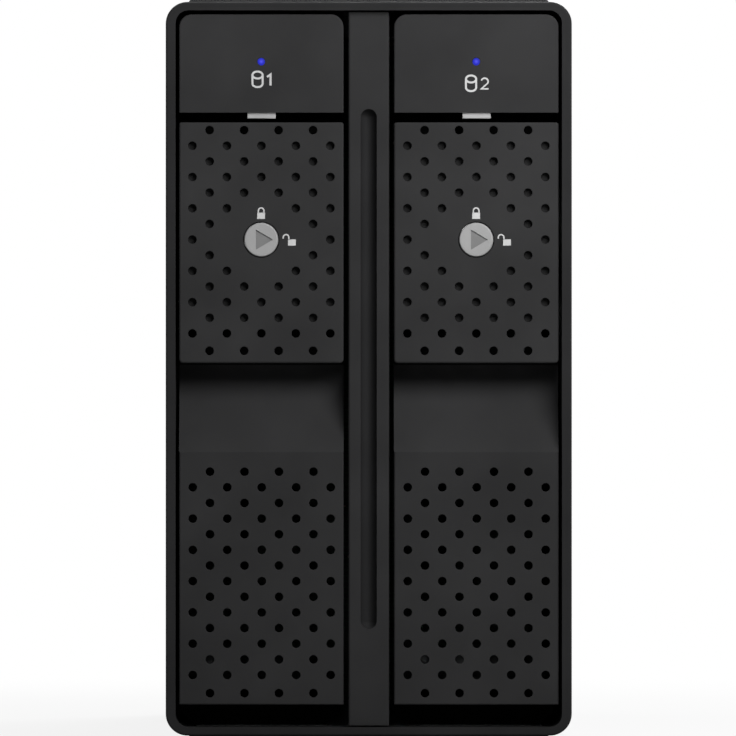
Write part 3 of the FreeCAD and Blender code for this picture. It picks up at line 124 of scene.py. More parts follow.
# %% Helpers that shape
def prism(name, corners, axis, start, end):
    """An outline of two-number corners, pulled along an axis from start to end."""
    start_clean()
    bpy.ops.mesh.primitive_circle_add(vertices=len(corners), radius=1, fill_type="NGON")
    piece = bpy.context.object
    piece.name = name
    for vertex, (a, b) in zip(piece.data.vertices, corners):
        vertex.co = {"X": (start, a, b), "Y": (a, start, b), "Z": (a, b, start)}[axis]
    way = {"X": (1, 0, 0), "Y": (0, 1, 0), "Z": (0, 0, 1)}[axis]
    bpy.ops.object.mode_set(mode="EDIT")
    bpy.ops.mesh.select_all(action="SELECT")
    bpy.ops.mesh.extrude_region_move(
        TRANSFORM_OT_translate={"value": Vector(way) * (end - start)})
    bpy.ops.mesh.select_all(action="SELECT")
    bpy.ops.mesh.normals_make_consistent(inside=False)
    bpy.ops.object.mode_set(mode="OBJECT")
    return piece


def arc(centre, radius, first, last, steps=12):
    """Points along an arc, with its angles in degrees."""
    turns = [math.radians(first + (last - first) * k / steps) for k in range(steps + 1)]
    return [(centre[0] + radius * math.cos(t), centre[1] + radius * math.sin(t)) for t in turns]


def select_edges(piece, wanted):
    """Goes to edit mode with the edges selected for which wanted(end, end) is true."""
    choose(piece)
    bpy.context.scene.tool_settings.mesh_select_mode = (False, True, False)
    mesh = piece.data
    for facet in mesh.polygons:
        facet.select = False
    for vertex in mesh.vertices:
        vertex.select = False
    for edge in mesh.edges:
        a, b = (mesh.vertices[i].co for i in edge.vertices)
        edge.select = bool(wanted(a, b))
    bpy.ops.object.mode_set(mode="EDIT")


def round_edges(piece, radius, steps, wanted):
    select_edges(piece, wanted)
    bpy.ops.mesh.bevel(offset=radius, segments=steps, affect="EDGES", clamp_overlap=True)
    bpy.ops.object.mode_set(mode="OBJECT")
    return piece


def along(axis, a, b):
    """True for an edge that runs along the axis."""
    span = b - a
    return abs(abs(span["XYZ".index(axis)]) - span.length) < 1e-7


def level(axis, place, a, b):
    """True for an edge that lies at that place on the axis."""
    i = "XYZ".index(axis)
    return abs(a[i] - place) < 1e-6 and abs(b[i] - place) < 1e-6


def soften(piece, radius, steps, axis, place):
    """Rounds the edges that lie at that place on the axis."""
    return round_edges(piece, radius, steps, lambda a, b: level(axis, place, a, b))


def slab(name, low, high, axis, corner, steps=5):
    """A box whose four edges along an axis are round."""
    return round_edges(block(name, low, high), corner, steps, lambda a, b: along(axis, a, b))


# %% [markdown]
# Holes and hollows are cut with a second piece and the exact boolean. Twins are copied with a mesh
# of their own. At the end each piece gets smooth shading, its material, and the body it rides on.
# Some also get shade painted onto the faces of their hollows, as a darker material.

# %% Helpers that cut, join, copy and finish
def combine(piece, other, operation="DIFFERENCE"):
    choose(piece)
    tool = piece.modifiers.new("combine", "BOOLEAN")
    tool.operation = operation
    tool.solver = "EXACT"
    tool.object = other
    bpy.ops.object.modifier_apply(modifier=tool.name)
    bpy.data.objects.remove(other)
    return piece


def copied(piece, name, shift):
    """A copy with a mesh of its own, moved by shift."""
    twin = piece.copy()
    twin.data = piece.data.copy()
    twin.name = name
    bpy.context.scene.collection.objects.link(twin)
    for vertex in twin.data.vertices:
        vertex.co += Vector(shift)
    return twin


def turned(piece, name, angle, centre):
    """A copy turned round an axis along Y through centre."""
    twin = copied(piece, name, (0, 0, 0))
    there = Matrix.Translation(centre)
    twin.data.transform(there @ Matrix.Rotation(angle, 4, "Y") @ there.inverted())
    return twin


def for_bay(piece, bay):
    """The first bay's piece itself, or its twin one tray pitch away in the second bay."""
    if bay == 1:
        return piece
    return copied(piece, piece.name.replace("_1", f"_{bay}"), (pitch, 0, 0))


def joined(name, *pieces):
    choose(*pieces)
    bpy.ops.object.join()
    piece = bpy.context.object
    piece.name = name
    return piece


def finish(piece, body, material, nodes=(), angle=35):
    """Smooth shading, material, and the body that the piece moves with."""
    choose(piece)
    bpy.ops.object.shade_smooth_by_angle(angle=math.radians(angle))
    even = piece.modifiers.new("even", "WEIGHTED_NORMAL")
    even.keep_sharp = True
    bpy.ops.object.modifier_apply(modifier=even.name)
    piece.data.materials.clear()
    piece.data.materials.append(material)
    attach(piece, body)
    if nodes:
        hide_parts(*nodes)
    print(piece.name, len(piece.data.polygons), "faces")
    return piece


def paint_shade(piece, material, wanted):
    """Paints shade: gives a further, darker material to the faces for which wanted(middle, deepest)
    is true.
    """
    piece.data.materials.append(material)
    for facet in piece.data.polygons:
        deepest = max(piece.data.vertices[i].co.y for i in facet.vertices)
        if wanted(facet.center, deepest):
            facet.material_index = len(piece.data.materials) - 1


# %% [markdown]
# The picture is a straight front view from far away, so the camera has a long lens. It stands where
# one pixel of the 736-pixel image is PIXEL wide on the bezel's front. The last fraction of a pixel
# was found by laying the render over the picture.

# %% Camera
PIXEL = 0.1785 * MM
IMAGE = 736
LENS, SENSOR = 600, 36
BEZEL_FOOT_ROW, CENTRE_COLUMN = 735.5, 368.25
MORE_RIGHT, MORE_DOWN = 0.5, 0.2
half_view = PIXEL * IMAGE / 2
distance = half_view * LENS / (SENSOR / 2)
camera_data = bpy.data.cameras.new("camera")
camera_data.lens, camera_data.sensor_width = LENS, SENSOR
camera_data.clip_start, camera_data.clip_end = 0.01, 50
camera = bpy.data.objects.new("camera", camera_data)
bpy.context.scene.collection.objects.link(camera)
camera.location = (-(CENTRE_COLUMN + MORE_RIGHT - IMAGE / 2) * PIXEL, bezel_low.y - distance,
                   bezel_low.z + (BEZEL_FOOT_ROW + MORE_DOWN - IMAGE / 2) * PIXEL)
camera.rotation_euler = (math.pi / 2, 0, 0)
bpy.context.scene.camera = camera
bpy.context.scene.view_settings.view_transform = "Standard"
print("camera", [round(c, 4) for c in camera.location])

# %% [markdown]
# A soft lamp close above the upper right gives the fall of brightness from top to bottom.
# One from behind keeps the rear readable, and one from above lights the roof. Places and widths
# are in metres. The lamp that stands close is hidden from reflections,
# because it would burn a spot into the satin surfaces beside it.

# %% Light
def soft_lamp(name, place, towards, wide, watts, hidden=False):
    data = bpy.data.lights.new(name, "AREA")
    data.shape = "DISK"
    data.size = wide
    data.energy = watts
    lamp = bpy.data.objects.new(name, data)
    bpy.context.scene.collection.objects.link(lamp)
    lamp.location = place
    lamp.rotation_euler = (Vector(towards) - Vector(place)).to_track_quat("-Z", "Y").to_euler()
    lamp.visible_camera = False
    lamp.visible_glossy = not hidden
    return lamp


soft_lamp("key", (0.12, -0.33, 0.25), (0.0, -0.10, 0.25), wide=0.2, watts=2.15, hidden=True)
soft_lamp("rear", (0.25, 0.75, 0.6), (0.0, 0.1, 0.06), wide=0.5, watts=12)
soft_lamp("top", (-0.1, 0.05, 0.9), (0.0, 0.0, 0.13), wide=0.5, watts=3)

# %% [markdown]
# Shaders are small graphs. One helper adds a node, wires or sets its inputs and makes its settings,
# so that a graph reads from its source to its output. The world is the first: white to the camera,
# to reflections and through clear pieces, and dim as a light.

# %% Helpers for shader nodes, and the world
WHITE = (1, 1, 1, 1)


def shader_node(tree, kind, inputs=(), **settings):
    """A node with its settings made and each input wired to a socket or set to a value."""
    made = tree.nodes.new("ShaderNode" + kind)
    for name, value in settings.items():
        setattr(made, name, value)
    for socket, value in dict(inputs).items():
        if isinstance(value, bpy.types.NodeSocket):
            tree.links.new(value, made.inputs[socket])
        else:
            made.inputs[socket].default_value = value
    return made


def calculated(tree, operation, *terms):
    """The answer of a Math node, whose terms are sockets or numbers."""
    return shader_node(tree, "Math", enumerate(terms), operation=operation).outputs[0]


WORLD_SEEN, WORLD_LIGHT = 1.0, 0.15
world = bpy.data.worlds.new("studio")
bpy.context.scene.world = world
world.use_nodes = True
tree = world.node_tree
tree.nodes.clear()
seen = shader_node(tree, "Background", {"Color": WHITE, "Strength": WORLD_SEEN})
lit = shader_node(tree, "Background", {"Color": WHITE, "Strength": WORLD_LIGHT})
rays = shader_node(tree, "LightPath").outputs
looked_at = calculated(tree, "MAXIMUM", rays["Is Camera Ray"], rays["Is Glossy Ray"])
looked_at = calculated(tree, "MAXIMUM", looked_at, rays["Is Transmission Ray"])
mix = shader_node(tree, "MixShader", {"Fac": looked_at, 1: lit.outputs[0], 2: seen.outputs[0]})
shader_node(tree, "OutputWorld", {"Surface": mix.outputs[0]})
print("world nodes:", len(tree.nodes))

# %% [markdown]
# The floor is a wide sheet. As a light it is a middle grey, so that it doesn't brighten the trays
# from below. To the camera it is mostly white of its own, and wholly white far from the object,
# while the part that is lit close by keeps the object's shadow.

# %% Floor
FLOOR_WIDE, FLOOR_GREY = 30, 0.42
NEAR, FAR, NEAR_WHITE = 0.16, 0.42, 0.86
start_clean()
bpy.ops.mesh.primitive_plane_add(size=FLOOR_WIDE, location=(0, 0, 0))
floor = bpy.context.object
floor.name = "floor"
paper = bpy.data.materials.new("pale_paper")
paper.use_nodes = True
tree = paper.node_tree
tree.nodes.clear()
matte = shader_node(tree, "BsdfDiffuse", {"Color": (FLOOR_GREY, FLOOR_GREY, FLOOR_GREY, 1)})
glow = shader_node(tree, "Emission", {"Color": WHITE, "Strength": 1.0})
spot = shader_node(tree, "TexCoord").outputs["Object"]
reach = shader_node(tree, "VectorMath", {0: spot}, operation="LENGTH").outputs["Value"]
fade = shader_node(tree, "MapRange", {"Value": reach, "From Min": NEAR, "From Max": FAR,
                                      "To Min": NEAR_WHITE, "To Max": 1.0},
                   interpolation_type="SMOOTHSTEP").outputs["Result"]
to_camera = shader_node(tree, "LightPath").outputs["Is Camera Ray"]
share = calculated(tree, "MULTIPLY", to_camera, fade)
mix = shader_node(tree, "MixShader", {"Fac": share, 1: matte.outputs[0], 2: glow.outputs[0]})
shader_node(tree, "OutputMaterial", {"Surface": mix.outputs[0]})
floor.data.materials.append(paper)
print("floor nodes:", len(tree.nodes))

# %% [markdown]
# Most of the case is black plastic with a fine satin texture from the mould. The colour drifts very
# slightly, the roughness a little more, and the texture itself is a bump a tenth of a millimetre
# across. All of it reads object coordinates, so it stays with the piece.

# %% A finish from noise
CLOUD, SPREAD = 14 * MM, 0.06


def finish_of(name, colour, rough, grain=0.16 * MM, depth=0.012 * MM, drift=0.12, metal=0.0,
              shine=0.5, stretch=(1, 1, 1)):
    """A material whose colour, roughness and bump vary with the place on the piece."""
    material = bpy.data.materials.new(name)
    material.use_nodes = True
    tree = material.node_tree
    shader = tree.nodes["Principled BSDF"]
    shader.inputs["Metallic"].default_value = metal
    shader.inputs["Specular IOR Level"].default_value = shine
    places = shader_node(tree, "TexCoord").outputs["Object"]
    spot = shader_node(tree, "Mapping", {"Vector": places, "Scale": stretch}).outputs["Vector"]
    clouds = shader_node(tree, "TexNoise", {"Vector": spot, "Scale": 1 / CLOUD, "Detail": 4})
    fine = shader_node(tree, "TexNoise", {"Vector": spot, "Scale": 1 / grain, "Detail": 3})
    ramp = shader_node(tree, "ValToRGB", {"Fac": clouds.outputs["Fac"]})
    ends = zip(ramp.color_ramp.elements, (0.3, 0.7), (1 - drift, 1 + drift))
    for element, place, share in ends:
        element.position = place
        element.color = [c * share for c in colour] + [1]
    spread = shader_node(tree, "MapRange", {
        "Value": fine.outputs["Fac"], "To Min": rough - SPREAD, "To Max": rough + SPREAD})
    bump = shader_node(tree, "Bump", {
        "Strength": 0.6, "Distance": depth, "Height": fine.outputs["Fac"]})
    for name, socket in (("Base Color", ramp.outputs["Color"]), ("Normal", bump.outputs["Normal"]),
                         ("Roughness", spread.outputs["Result"])):
        tree.links.new(socket, shader.inputs[name])
    return material


tray_black = finish_of("tray_black", (0.018, 0.018, 0.0184), 0.5, shine=0.04)
lever_black = finish_of("lever_black", (0.0189, 0.0189, 0.0193), 0.48, shine=0.04)
bezel_black = finish_of("bezel_plastic", (0.0131, 0.0131, 0.0135), 0.46, shine=0.04)
column_black = finish_of("column_black", (0.0178, 0.0178, 0.0182), 0.5, shine=0.04)
panel_black = finish_of("panel_black", (0.016, 0.016, 0.0164), 0.52, shine=0.12)
fan_black = finish_of("fan_plastic", (0.012, 0.012, 0.0122), 0.42, shine=0.25)
# Painted shade: a near-black for faces deep in shade, the well behind the lever, the lever's inside
# and the tray guides.
gap_black = finish_of("gap_black", (0.003, 0.003, 0.003), 0.7, shine=0.02)
# Painted shade: a darker black for the bottoms of the lever's blind holes.
hole_black = finish_of("hole_black", (0.012, 0.012, 0.0122), 0.6, shine=0.02)
part_black = finish_of("part_black", (0.01, 0.01, 0.0102), 0.4, shine=0.2)
button_grey = finish_of("button_plastic", (0.075, 0.075, 0.078), 0.45, shine=0.2)
foot_rubber = finish_of("feet_rubber", (0.014, 0.014, 0.014), 0.8, grain=0.3 * MM,
                        depth=0.03 * MM, shine=0.15)
ink = finish_of("white_print", (0.33, 0.33, 0.33), 0.6, depth=0.003 * MM, shine=0.1)
print("plastics:", len(bpy.data.materials) - 1)

# %% [markdown]
# Metals get their look from the direction of their marks. A drawn or rolled part has streaks, so
# the noise is stretched along them. Hot-dip zinc has flat crystals a few millimetres across, which
# is what Voronoi cells are like, so each cell gets a brightness of its own.

# %% Metals
silver = finish_of("satin_zinc", (0.235, 0.235, 0.235), 0.45, grain=0.09 * MM, metal=0.3, shine=0.3)
# Painted shade: a darker copy of the satin zinc for the floor of the key recess.
key_floor = finish_of("key_floor", (0.13, 0.13, 0.13), 0.5, grain=0.09 * MM, metal=0.2, shine=0.2)
# Painted light: a lighter copy of the satin zinc for the latch tab, brighter to make up for the
# shade where it sits back. The status lights' chips reuse it.
latch_zinc = finish_of("latch_zinc", (0.285, 0.285, 0.285), 0.45, grain=0.09 * MM, metal=0.3,
                       shine=0.3)
spring_steel = finish_of("wire_steel", (0.42, 0.42, 0.43), 0.3, grain=0.1 * MM, metal=1.0,
                         stretch=(1, 1, 0.1))
dark_steel = finish_of("dark_sheet", (0.035, 0.035, 0.037), 0.5, grain=0.25 * MM, metal=0.2,
                       shine=0.3)
port_steel = finish_of("socket_steel", (0.45, 0.45, 0.46), 0.28, grain=0.08 * MM, metal=1.0,
                       stretch=(1, 0.08, 1))
fin_aluminium = finish_of("drawn_aluminium", (0.5, 0.5, 0.51), 0.35, grain=0.1 * MM, metal=1.0,
                          stretch=(1, 0.05, 1))
brass = finish_of("brass", (0.45, 0.32, 0.12), 0.3, grain=0.1 * MM, metal=1.0, stretch=(1, 1, 0.1))
screw_black = finish_of("screw_oxide", (0.022, 0.022, 0.023), 0.35, grain=0.12 * MM, metal=0.5,
                        shine=0.5)
galvanised = finish_of("galvanised", (0.38, 0.39, 0.4), 0.38, grain=0.2 * MM, metal=0.9)


def spangle(material, size, amount):
    """Crystals: the colour that the noise gives is made lighter or darker from cell to cell."""
    tree = material.node_tree
    base = tree.nodes["Principled BSDF"].inputs["Base Color"]
    spot = tree.nodes["Mapping"].outputs["Vector"]
    cells = shader_node(tree, "TexVoronoi", {"Vector": spot, "Scale": 1 / size})
    tone = shader_node(tree, "MapRange", {
        "Value": cells.outputs["Color"], "To Min": 1 - amount, "To Max": 1 + amount})
    blend = shader_node(tree, "VectorMath", {
        0: base.links[0].from_socket, "Scale": tone.outputs["Result"]}, operation="SCALE")
    tree.links.new(blend.outputs["Vector"], base)


spangle(galvanised, 4 * MM, 0.3)
print("materials so far:", len(bpy.data.materials))

# %% [markdown]
# A circuit board is green lacquer over copper. The tracks stand out as slightly lighter lines in
# bundles, and small round pads shine through. The distance across the board, counted in track
# pitches, gives the lines, large cells decide where a bundle is, and small cells give the pads.

# %% Circuit board
LACQUER, TRACK, PAD = (0.008, 0.05, 0.02), (0.02, 0.1, 0.04, 1), (0.4, 0.38, 0.3, 1)
TRACK_PITCH, TRACK_SHARE = 1.1 * MM, 0.3
BUNDLE, BUNDLE_START = 9 * MM, 0.45
PAD_PITCH, PAD_RADIUS = 5 * MM, 0.09


def board_finish(name, across):
    """across is the axis number that the tracks are counted along."""
    material = finish_of(name, LACQUER, 0.3, grain=0.6 * MM, shine=0.5)
    tree = material.node_tree
    base = tree.nodes["Principled BSDF"].inputs["Base Color"]
    spot = tree.nodes["Mapping"].outputs["Vector"]
    place = shader_node(tree, "SeparateXYZ", {0: spot}).outputs[across]
    count = calculated(tree, "FRACT", calculated(tree, "DIVIDE", place, TRACK_PITCH))
    line = calculated(tree, "LESS_THAN", count, TRACK_SHARE)
    areas = shader_node(tree, "TexVoronoi", {"Vector": spot, "Scale": 1 / BUNDLE})
    bundle = calculated(tree, "GREATER_THAN", areas.outputs["Color"], BUNDLE_START)
    tracks = shader_node(tree, "Mix", {
        "Factor": calculated(tree, "MULTIPLY", bundle, line),
        "A": base.links[0].from_socket, "B": TRACK}, data_type="RGBA")
    spots = shader_node(tree, "TexVoronoi", {"Vector": spot, "Scale": 1 / PAD_PITCH})
    pads = shader_node(tree, "Mix", {
        "Factor": calculated(tree, "LESS_THAN", spots.outputs["Distance"], PAD_RADIUS),
        "A": tracks.outputs["Result"], "B": PAD}, data_type="RGBA")
    tree.links.new(pads.outputs["Result"], base)
    return material


main_green = board_finish("main_board_green", 0)
back_green = board_finish("backplane_green", 2)
print("boards:", main_green.name, back_green.name)

# %% [markdown]
# The status light is a small lens in front of a clear rod, which brings the light of a chip inside
# the case to the front. It is bright blue in the middle, deeper blue at the rim, and the glow dies
# away behind the face. Both lights are the same distance from the middle of the case, so one
# material serves both when it takes the distance without its sign.

# %% Status light
BROW_FOOT = lever_high.z + 1.75 * MM
LIGHT = (middle, BROW_FOOT + 9.1 * MM)
LIGHT_RADIUS = 0.65 * MM
CORE_BLUE, RIM_BLUE = (0.075, 0.08, 0.87, 1), (0.02, 0.028, 0.5, 1)
GLOW_START, GLOW_END = face + 0.4 * MM, face + 4 * MM


def light_finish():
    material = finish_of("lit_lens", (0.006, 0.006, 0.02), 0.3, shine=0.1)
    tree = material.node_tree
    shader = tree.nodes["Principled BSDF"]
    apart = shader_node(tree, "SeparateXYZ", {0: tree.nodes["Mapping"].outputs["Vector"]}).outputs
    across = calculated(tree, "SUBTRACT", calculated(tree, "ABSOLUTE", apart["X"]), -LIGHT[0])
    rise = calculated(tree, "SUBTRACT", apart["Z"], LIGHT[1])
    flat = shader_node(tree, "CombineXYZ", {"X": across, "Z": rise})
    away = shader_node(tree, "VectorMath", {0: flat.outputs[0]}, operation="LENGTH")
    spread = shader_node(tree, "MapRange", {
        "Value": away.outputs["Value"], "From Max": LIGHT_RADIUS})
    glow = shader_node(tree, "ValToRGB", {"Fac": spread.outputs["Result"]})
    for element, place, colour in zip(glow.color_ramp.elements, (0.1, 0.6), (CORE_BLUE, RIM_BLUE)):
        element.position = place
        element.color = colour
    depth = shader_node(tree, "MapRange", {"Value": apart["Y"], "From Min": GLOW_START,
                                           "From Max": GLOW_END, "To Min": 1.0, "To Max": 0.02})
    tree.links.new(glow.outputs["Color"], shader.inputs["Emission Color"])
    tree.links.new(depth.outputs["Result"], shader.inputs["Emission Strength"])
    return material


lit_lens = light_finish()
light_pipe = finish_of("light_pipe", (0.12, 0.13, 0.16), 0.25, shine=0.4)
print("light at", [round(v / MM, 2) for v in LIGHT])

# %% [markdown]
# The bezel is the frame round the two bays: a deep ring with round outer corners, a soft front
# edge, and a tighter opening. A block with its corners rounded is the outside, and a second one
# takes out the opening. Two lugs behind the column hold it.

# %% Bezel
CORNER, OPENING_CORNER, BEZEL_SOFT = 3.9 * MM, 2.3 * MM, 0.4 * MM
SIDE_WALL, ROOF_WALL = 1.75 * MM, 1.5 * MM
bezel = block("bezel_frame", bezel_low, bezel_high)
round_edges(bezel, CORNER, 14, lambda a, b: along("Y", a, b))
soften(bezel, BEZEL_SOFT, 4, "Y", bezel_low.y)
opening = block("opening", (bezel_low.x + SIDE_WALL, bezel_low.y - MM, bezel_low.z + ROOF_WALL),
                (bezel_high.x - SIDE_WALL, bezel_high.y + MM, bezel_high.z - ROOF_WALL))
round_edges(opening, OPENING_CORNER, 10, lambda a, b: along("Y", a, b))
combine(bezel, opening)
column_low, column_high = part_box("center_column")
COLUMN_LUG, COLUMN_PLAY = 4 * MM, 0.3 * MM
for low, high in ((bezel_low.z + ROOF_WALL / 2, column_low.z - COLUMN_PLAY + COLUMN_LUG),
                  (column_high.z + COLUMN_PLAY - COLUMN_LUG, bezel_high.z - ROOF_WALL / 2)):
    combine(bezel, block("lug", (column_low.x, column_high.y, low),
                         (column_high.x, bezel_high.y, high)), "UNION")
finish(bezel, "enclosure", bezel_black, ["front_bezel"])

# %% [markdown]
# The column between the bays has soft long edges and a groove, a little deeper than half a pipe,
# with round ends. The cutter for it is a ball whose upper half is moved up and whose lower half is
# moved down, stretched from front to back. An odd number of rings leaves none on the middle, so
# the halves part cleanly. The groove's faces are painted darker with the bezel's material, as
# shade in the hollow.

# %% Centre column
GROOVE_RADIUS, GROOVE_DEEPER = 1.45 * MM, 0.35
GROOVE_FOOT, GROOVE_HEAD, COLUMN_SOFT = 21 * MM, 113.9 * MM, 0.45 * MM
column = block("column_face", column_low, column_high)
round_edges(column, COLUMN_SOFT, 4,
            lambda a, b: along("Z", a, b) and level("Y", column_low.y, a, b))
start_clean()
bpy.ops.mesh.primitive_uv_sphere_add(
    segments=40, ring_count=21, radius=GROOVE_RADIUS,
    location=(0, column_low.y, (GROOVE_FOOT + GROOVE_HEAD) / 2))
groove = place_in_mesh(bpy.context.object)
reach = (GROOVE_HEAD - GROOVE_FOOT) / 2 - GROOVE_RADIUS
for vertex in groove.data.vertices:
    vertex.co.z += reach if vertex.co.z > (GROOVE_FOOT + GROOVE_HEAD) / 2 else -reach
    vertex.co.y += (vertex.co.y - column_low.y) * GROOVE_DEEPER
combine(column, groove)
finish(column, "enclosure", column_black, ["center_column"])
# Painted shade: the groove's faces take the darker bezel material, for the shade in the hollow.
paint_shade(column, bezel_black, lambda at, deep: abs(at.x) < GROOVE_RADIUS
              and GROOVE_FOOT < at.z < GROOVE_HEAD
              and column_low.y + 0.01 * MM < at.y < column_low.y + 2 * GROOVE_RADIUS)

# %% [markdown]
# Air holes stand in staggered rows of five and four. One punch is modelled with a flared mouth,
# copied to every hole, and joined to a single cutter. The last row of each field is a little lower.

# %% Punches for the air holes
HOLE_RADIUS, HOLE_SIDES, LIP, FLARE = 0.765 * MM, 24, 0.07 * MM, 0.4 * MM
HOLE_STEP, ROW_STEP = 6.16 * MM, 2.793 * MM
HALF_ROWS, LAST_DROP = 7, {"lever": 0.3 * MM, "tray": 0.45 * MM}


def hole_places(centre, last_drop):
    """Row number and place of each hole, the top row first."""
    found = []
    for row in range(-HALF_ROWS, HALF_ROWS + 1):
        steps = (-2, -1, 0, 1, 2) if row % 2 == 0 else (-1.5, -0.5, 0.5, 1.5)
        height = centre - row * ROW_STEP - (last_drop if row == HALF_ROWS else 0)
        found += [(row + HALF_ROWS + 1, step * HOLE_STEP, height) for step in steps]
    return found


def punch(name, places, depth):
    """One cutter with a flared mouth for each place, from in front of the face to that depth."""
    start_clean()
    bpy.ops.mesh.primitive_circle_add(vertices=HOLE_SIDES, radius=1, fill_type="NGON")
    first = bpy.context.object
    radius, deep = HOLE_RADIUS + LIP + FLARE, -FLARE
    for k, vertex in enumerate(first.data.vertices):
        turn = math.tau * k / HOLE_SIDES
        vertex.co = (radius * math.cos(turn), deep, radius * math.sin(turn))
    for narrower, deeper in ((HOLE_RADIUS, LIP), (HOLE_RADIUS, depth)):
        bpy.ops.object.mode_set(mode="EDIT")
        bpy.ops.mesh.extrude_region_move(TRANSFORM_OT_translate={"value": (0, deeper - deep, 0)})
        ratio = narrower / radius
        bpy.ops.transform.resize(value=(ratio, 1, ratio))
        bpy.ops.object.mode_set(mode="OBJECT")
        radius, deep = narrower, deeper
    bpy.ops.object.mode_set(mode="EDIT")
    bpy.ops.mesh.select_all(action="SELECT")
    bpy.ops.mesh.normals_make_consistent(inside=False)
    bpy.ops.object.mode_set(mode="OBJECT")
    copies = [copied(first, "hole", (middle + x, face, z)) for _, x, z in places]
    bpy.data.objects.remove(first)
    return joined(name, *copies)


# %% [markdown]
# The tray front is one moulding. From the side it is a plate with the finger recess scooped out of
# it, a well for the lever above that, and the brow with the status light on top. Each of those
# spaces is a section pulled through a block and cut out of it. The scoop's ramp is a long shallow
# arc. Its cutter is wider than the tray and round along its sides, which turns the ramp up softly
# at both edges. The line where the ramp meets the panel stays sharp and shows as a crease.

# %% Tray front
PANEL_TOP, PANEL_CENTRE = tray_low.z + 45.1 * MM, tray_low.z + 22.05 * MM
PIVOT = (face + 3.9 * MM, lever_low.z + 2.2 * MM)
SWING = 4.5 * MM
WELL = PIVOT[0] + SWING
SKIN, SIDE_SKIN, SOLE = 2 * MM, 1.5 * MM, 1.2 * MM
BROW_CORNER, TRAY_SOFT = 2.3 * MM, 0.3 * MM
SCOOP_PAST, SCOOP_FILLET, SCOOP_RADIUS = 1.2 * MM, 4 * MM, 50 * MM

tray = block("tray_front_1", tray_low, tray_high)
round_edges(tray, BROW_CORNER, 12, lambda a, b: along("Y", a, b) and a.z > tray_high.z - MM)
soften(tray, TRAY_SOFT, 3, "Y", face)

tip = lever_low.z - 1.5 * MM
well = prism("well", [(face - MM, tip), (face - MM, BROW_FOOT), (WELL, BROW_FOOT)]
             + arc(PIVOT, SWING, 0, -55, 10) + [(PIVOT[0], tip)],
             "X", tray_low.x - MM, tray_high.x + MM)
combine(tray, well)

ramp_top = (WELL, lever_low.z - 0.3 * MM)
chord = Vector((ramp_top[0] - face, ramp_top[1] - PANEL_TOP))
lean = math.sqrt(SCOOP_RADIUS ** 2 - (chord.length / 2) ** 2)
ramp_centre = ((face + ramp_top[0]) / 2 - chord.y / chord.length * lean,
               (PANEL_TOP + ramp_top[1]) / 2 + chord.x / chord.length * lean)
bend = [math.degrees(math.atan2(z - ramp_centre[1], y - ramp_centre[0]))
        for y, z in ((face, PANEL_TOP), ramp_top)]
ramp = arc(ramp_centre, SCOOP_RADIUS, bend[0], bend[1], 14)
sides = (tray_low.x - SCOOP_PAST, tray_high.x + SCOOP_PAST)
scoop = prism("scoop", [(face - MM, lever_low.z + 4 * MM), (face - MM, PANEL_TOP)] + ramp
              + [(WELL, lever_low.z + 4 * MM)], "X", *sides)
round_edges(scoop, SCOOP_FILLET, 7,
            lambda a, b: any(level("X", side, a, b) for side in sides)
            and max(a.z, b.z) < lever_low.z and min(a.y, b.y) > face - 0.5 * MM)
combine(tray, scoop)
select_edges(tray, lambda a, b: level("Z", PANEL_TOP, a, b) and level("Y", face, a, b))
bpy.ops.mesh.mark_sharp()
bpy.ops.object.mode_set(mode="OBJECT")
print("tray front before its holes:", len(tray.data.polygons), "faces")

# %% [markdown]
# Behind, the moulding is a shell: a hollow follows the front at one wall's distance. Then the air
# holes are punched through the lower panel, and a hole is drilled for the status light.

# %% Tray front, behind and through
back_ramp = [(y + SKIN * 0.95, z + 0.2 * MM) for y, z in ramp]
hollow = prism("hollow", [(tray_high.y + MM, tray_low.z + SOLE),
                          (face + SKIN, tray_low.z + SOLE), (face + SKIN, PANEL_TOP - 0.4 * MM)]
               + [p for p in back_ramp if p[0] < WELL + SKIN - 0.4 * MM]
               + [(WELL + SKIN, lever_low.z + 0.6 * MM), (WELL + SKIN, BROW_FOOT + SIDE_SKIN),
                  (face + SKIN, BROW_FOOT + SIDE_SKIN), (face + SKIN, tray_high.z - SIDE_SKIN),
                  (tray_high.y + MM, tray_high.z - SIDE_SKIN)],
               "X", tray_low.x + SIDE_SKIN, tray_high.x - SIDE_SKIN)
combine(tray, hollow)
PANEL_SHIFT = 0.07 * MM
places = [(row, x + PANEL_SHIFT, z)
          for row, x, z in hole_places(PANEL_CENTRE, LAST_DROP["tray"])]
combine(tray, punch("panel_holes", places, SKIN + MM))
combine(tray, rod("light_hole", (LIGHT[0], face, LIGHT[1]), LIGHT_RADIUS + 0.05 * MM, 8 * MM))
print("tray front:", len(tray.data.polygons), "faces")

# %% [markdown]
# Behind the lever the tray carries two round-nosed hinge lugs, four air slots, the mouth that the
# latch comes out of, with room above it for its travel, and the rib and seat that hold the latch's
# spring. They show when the lever hangs open.

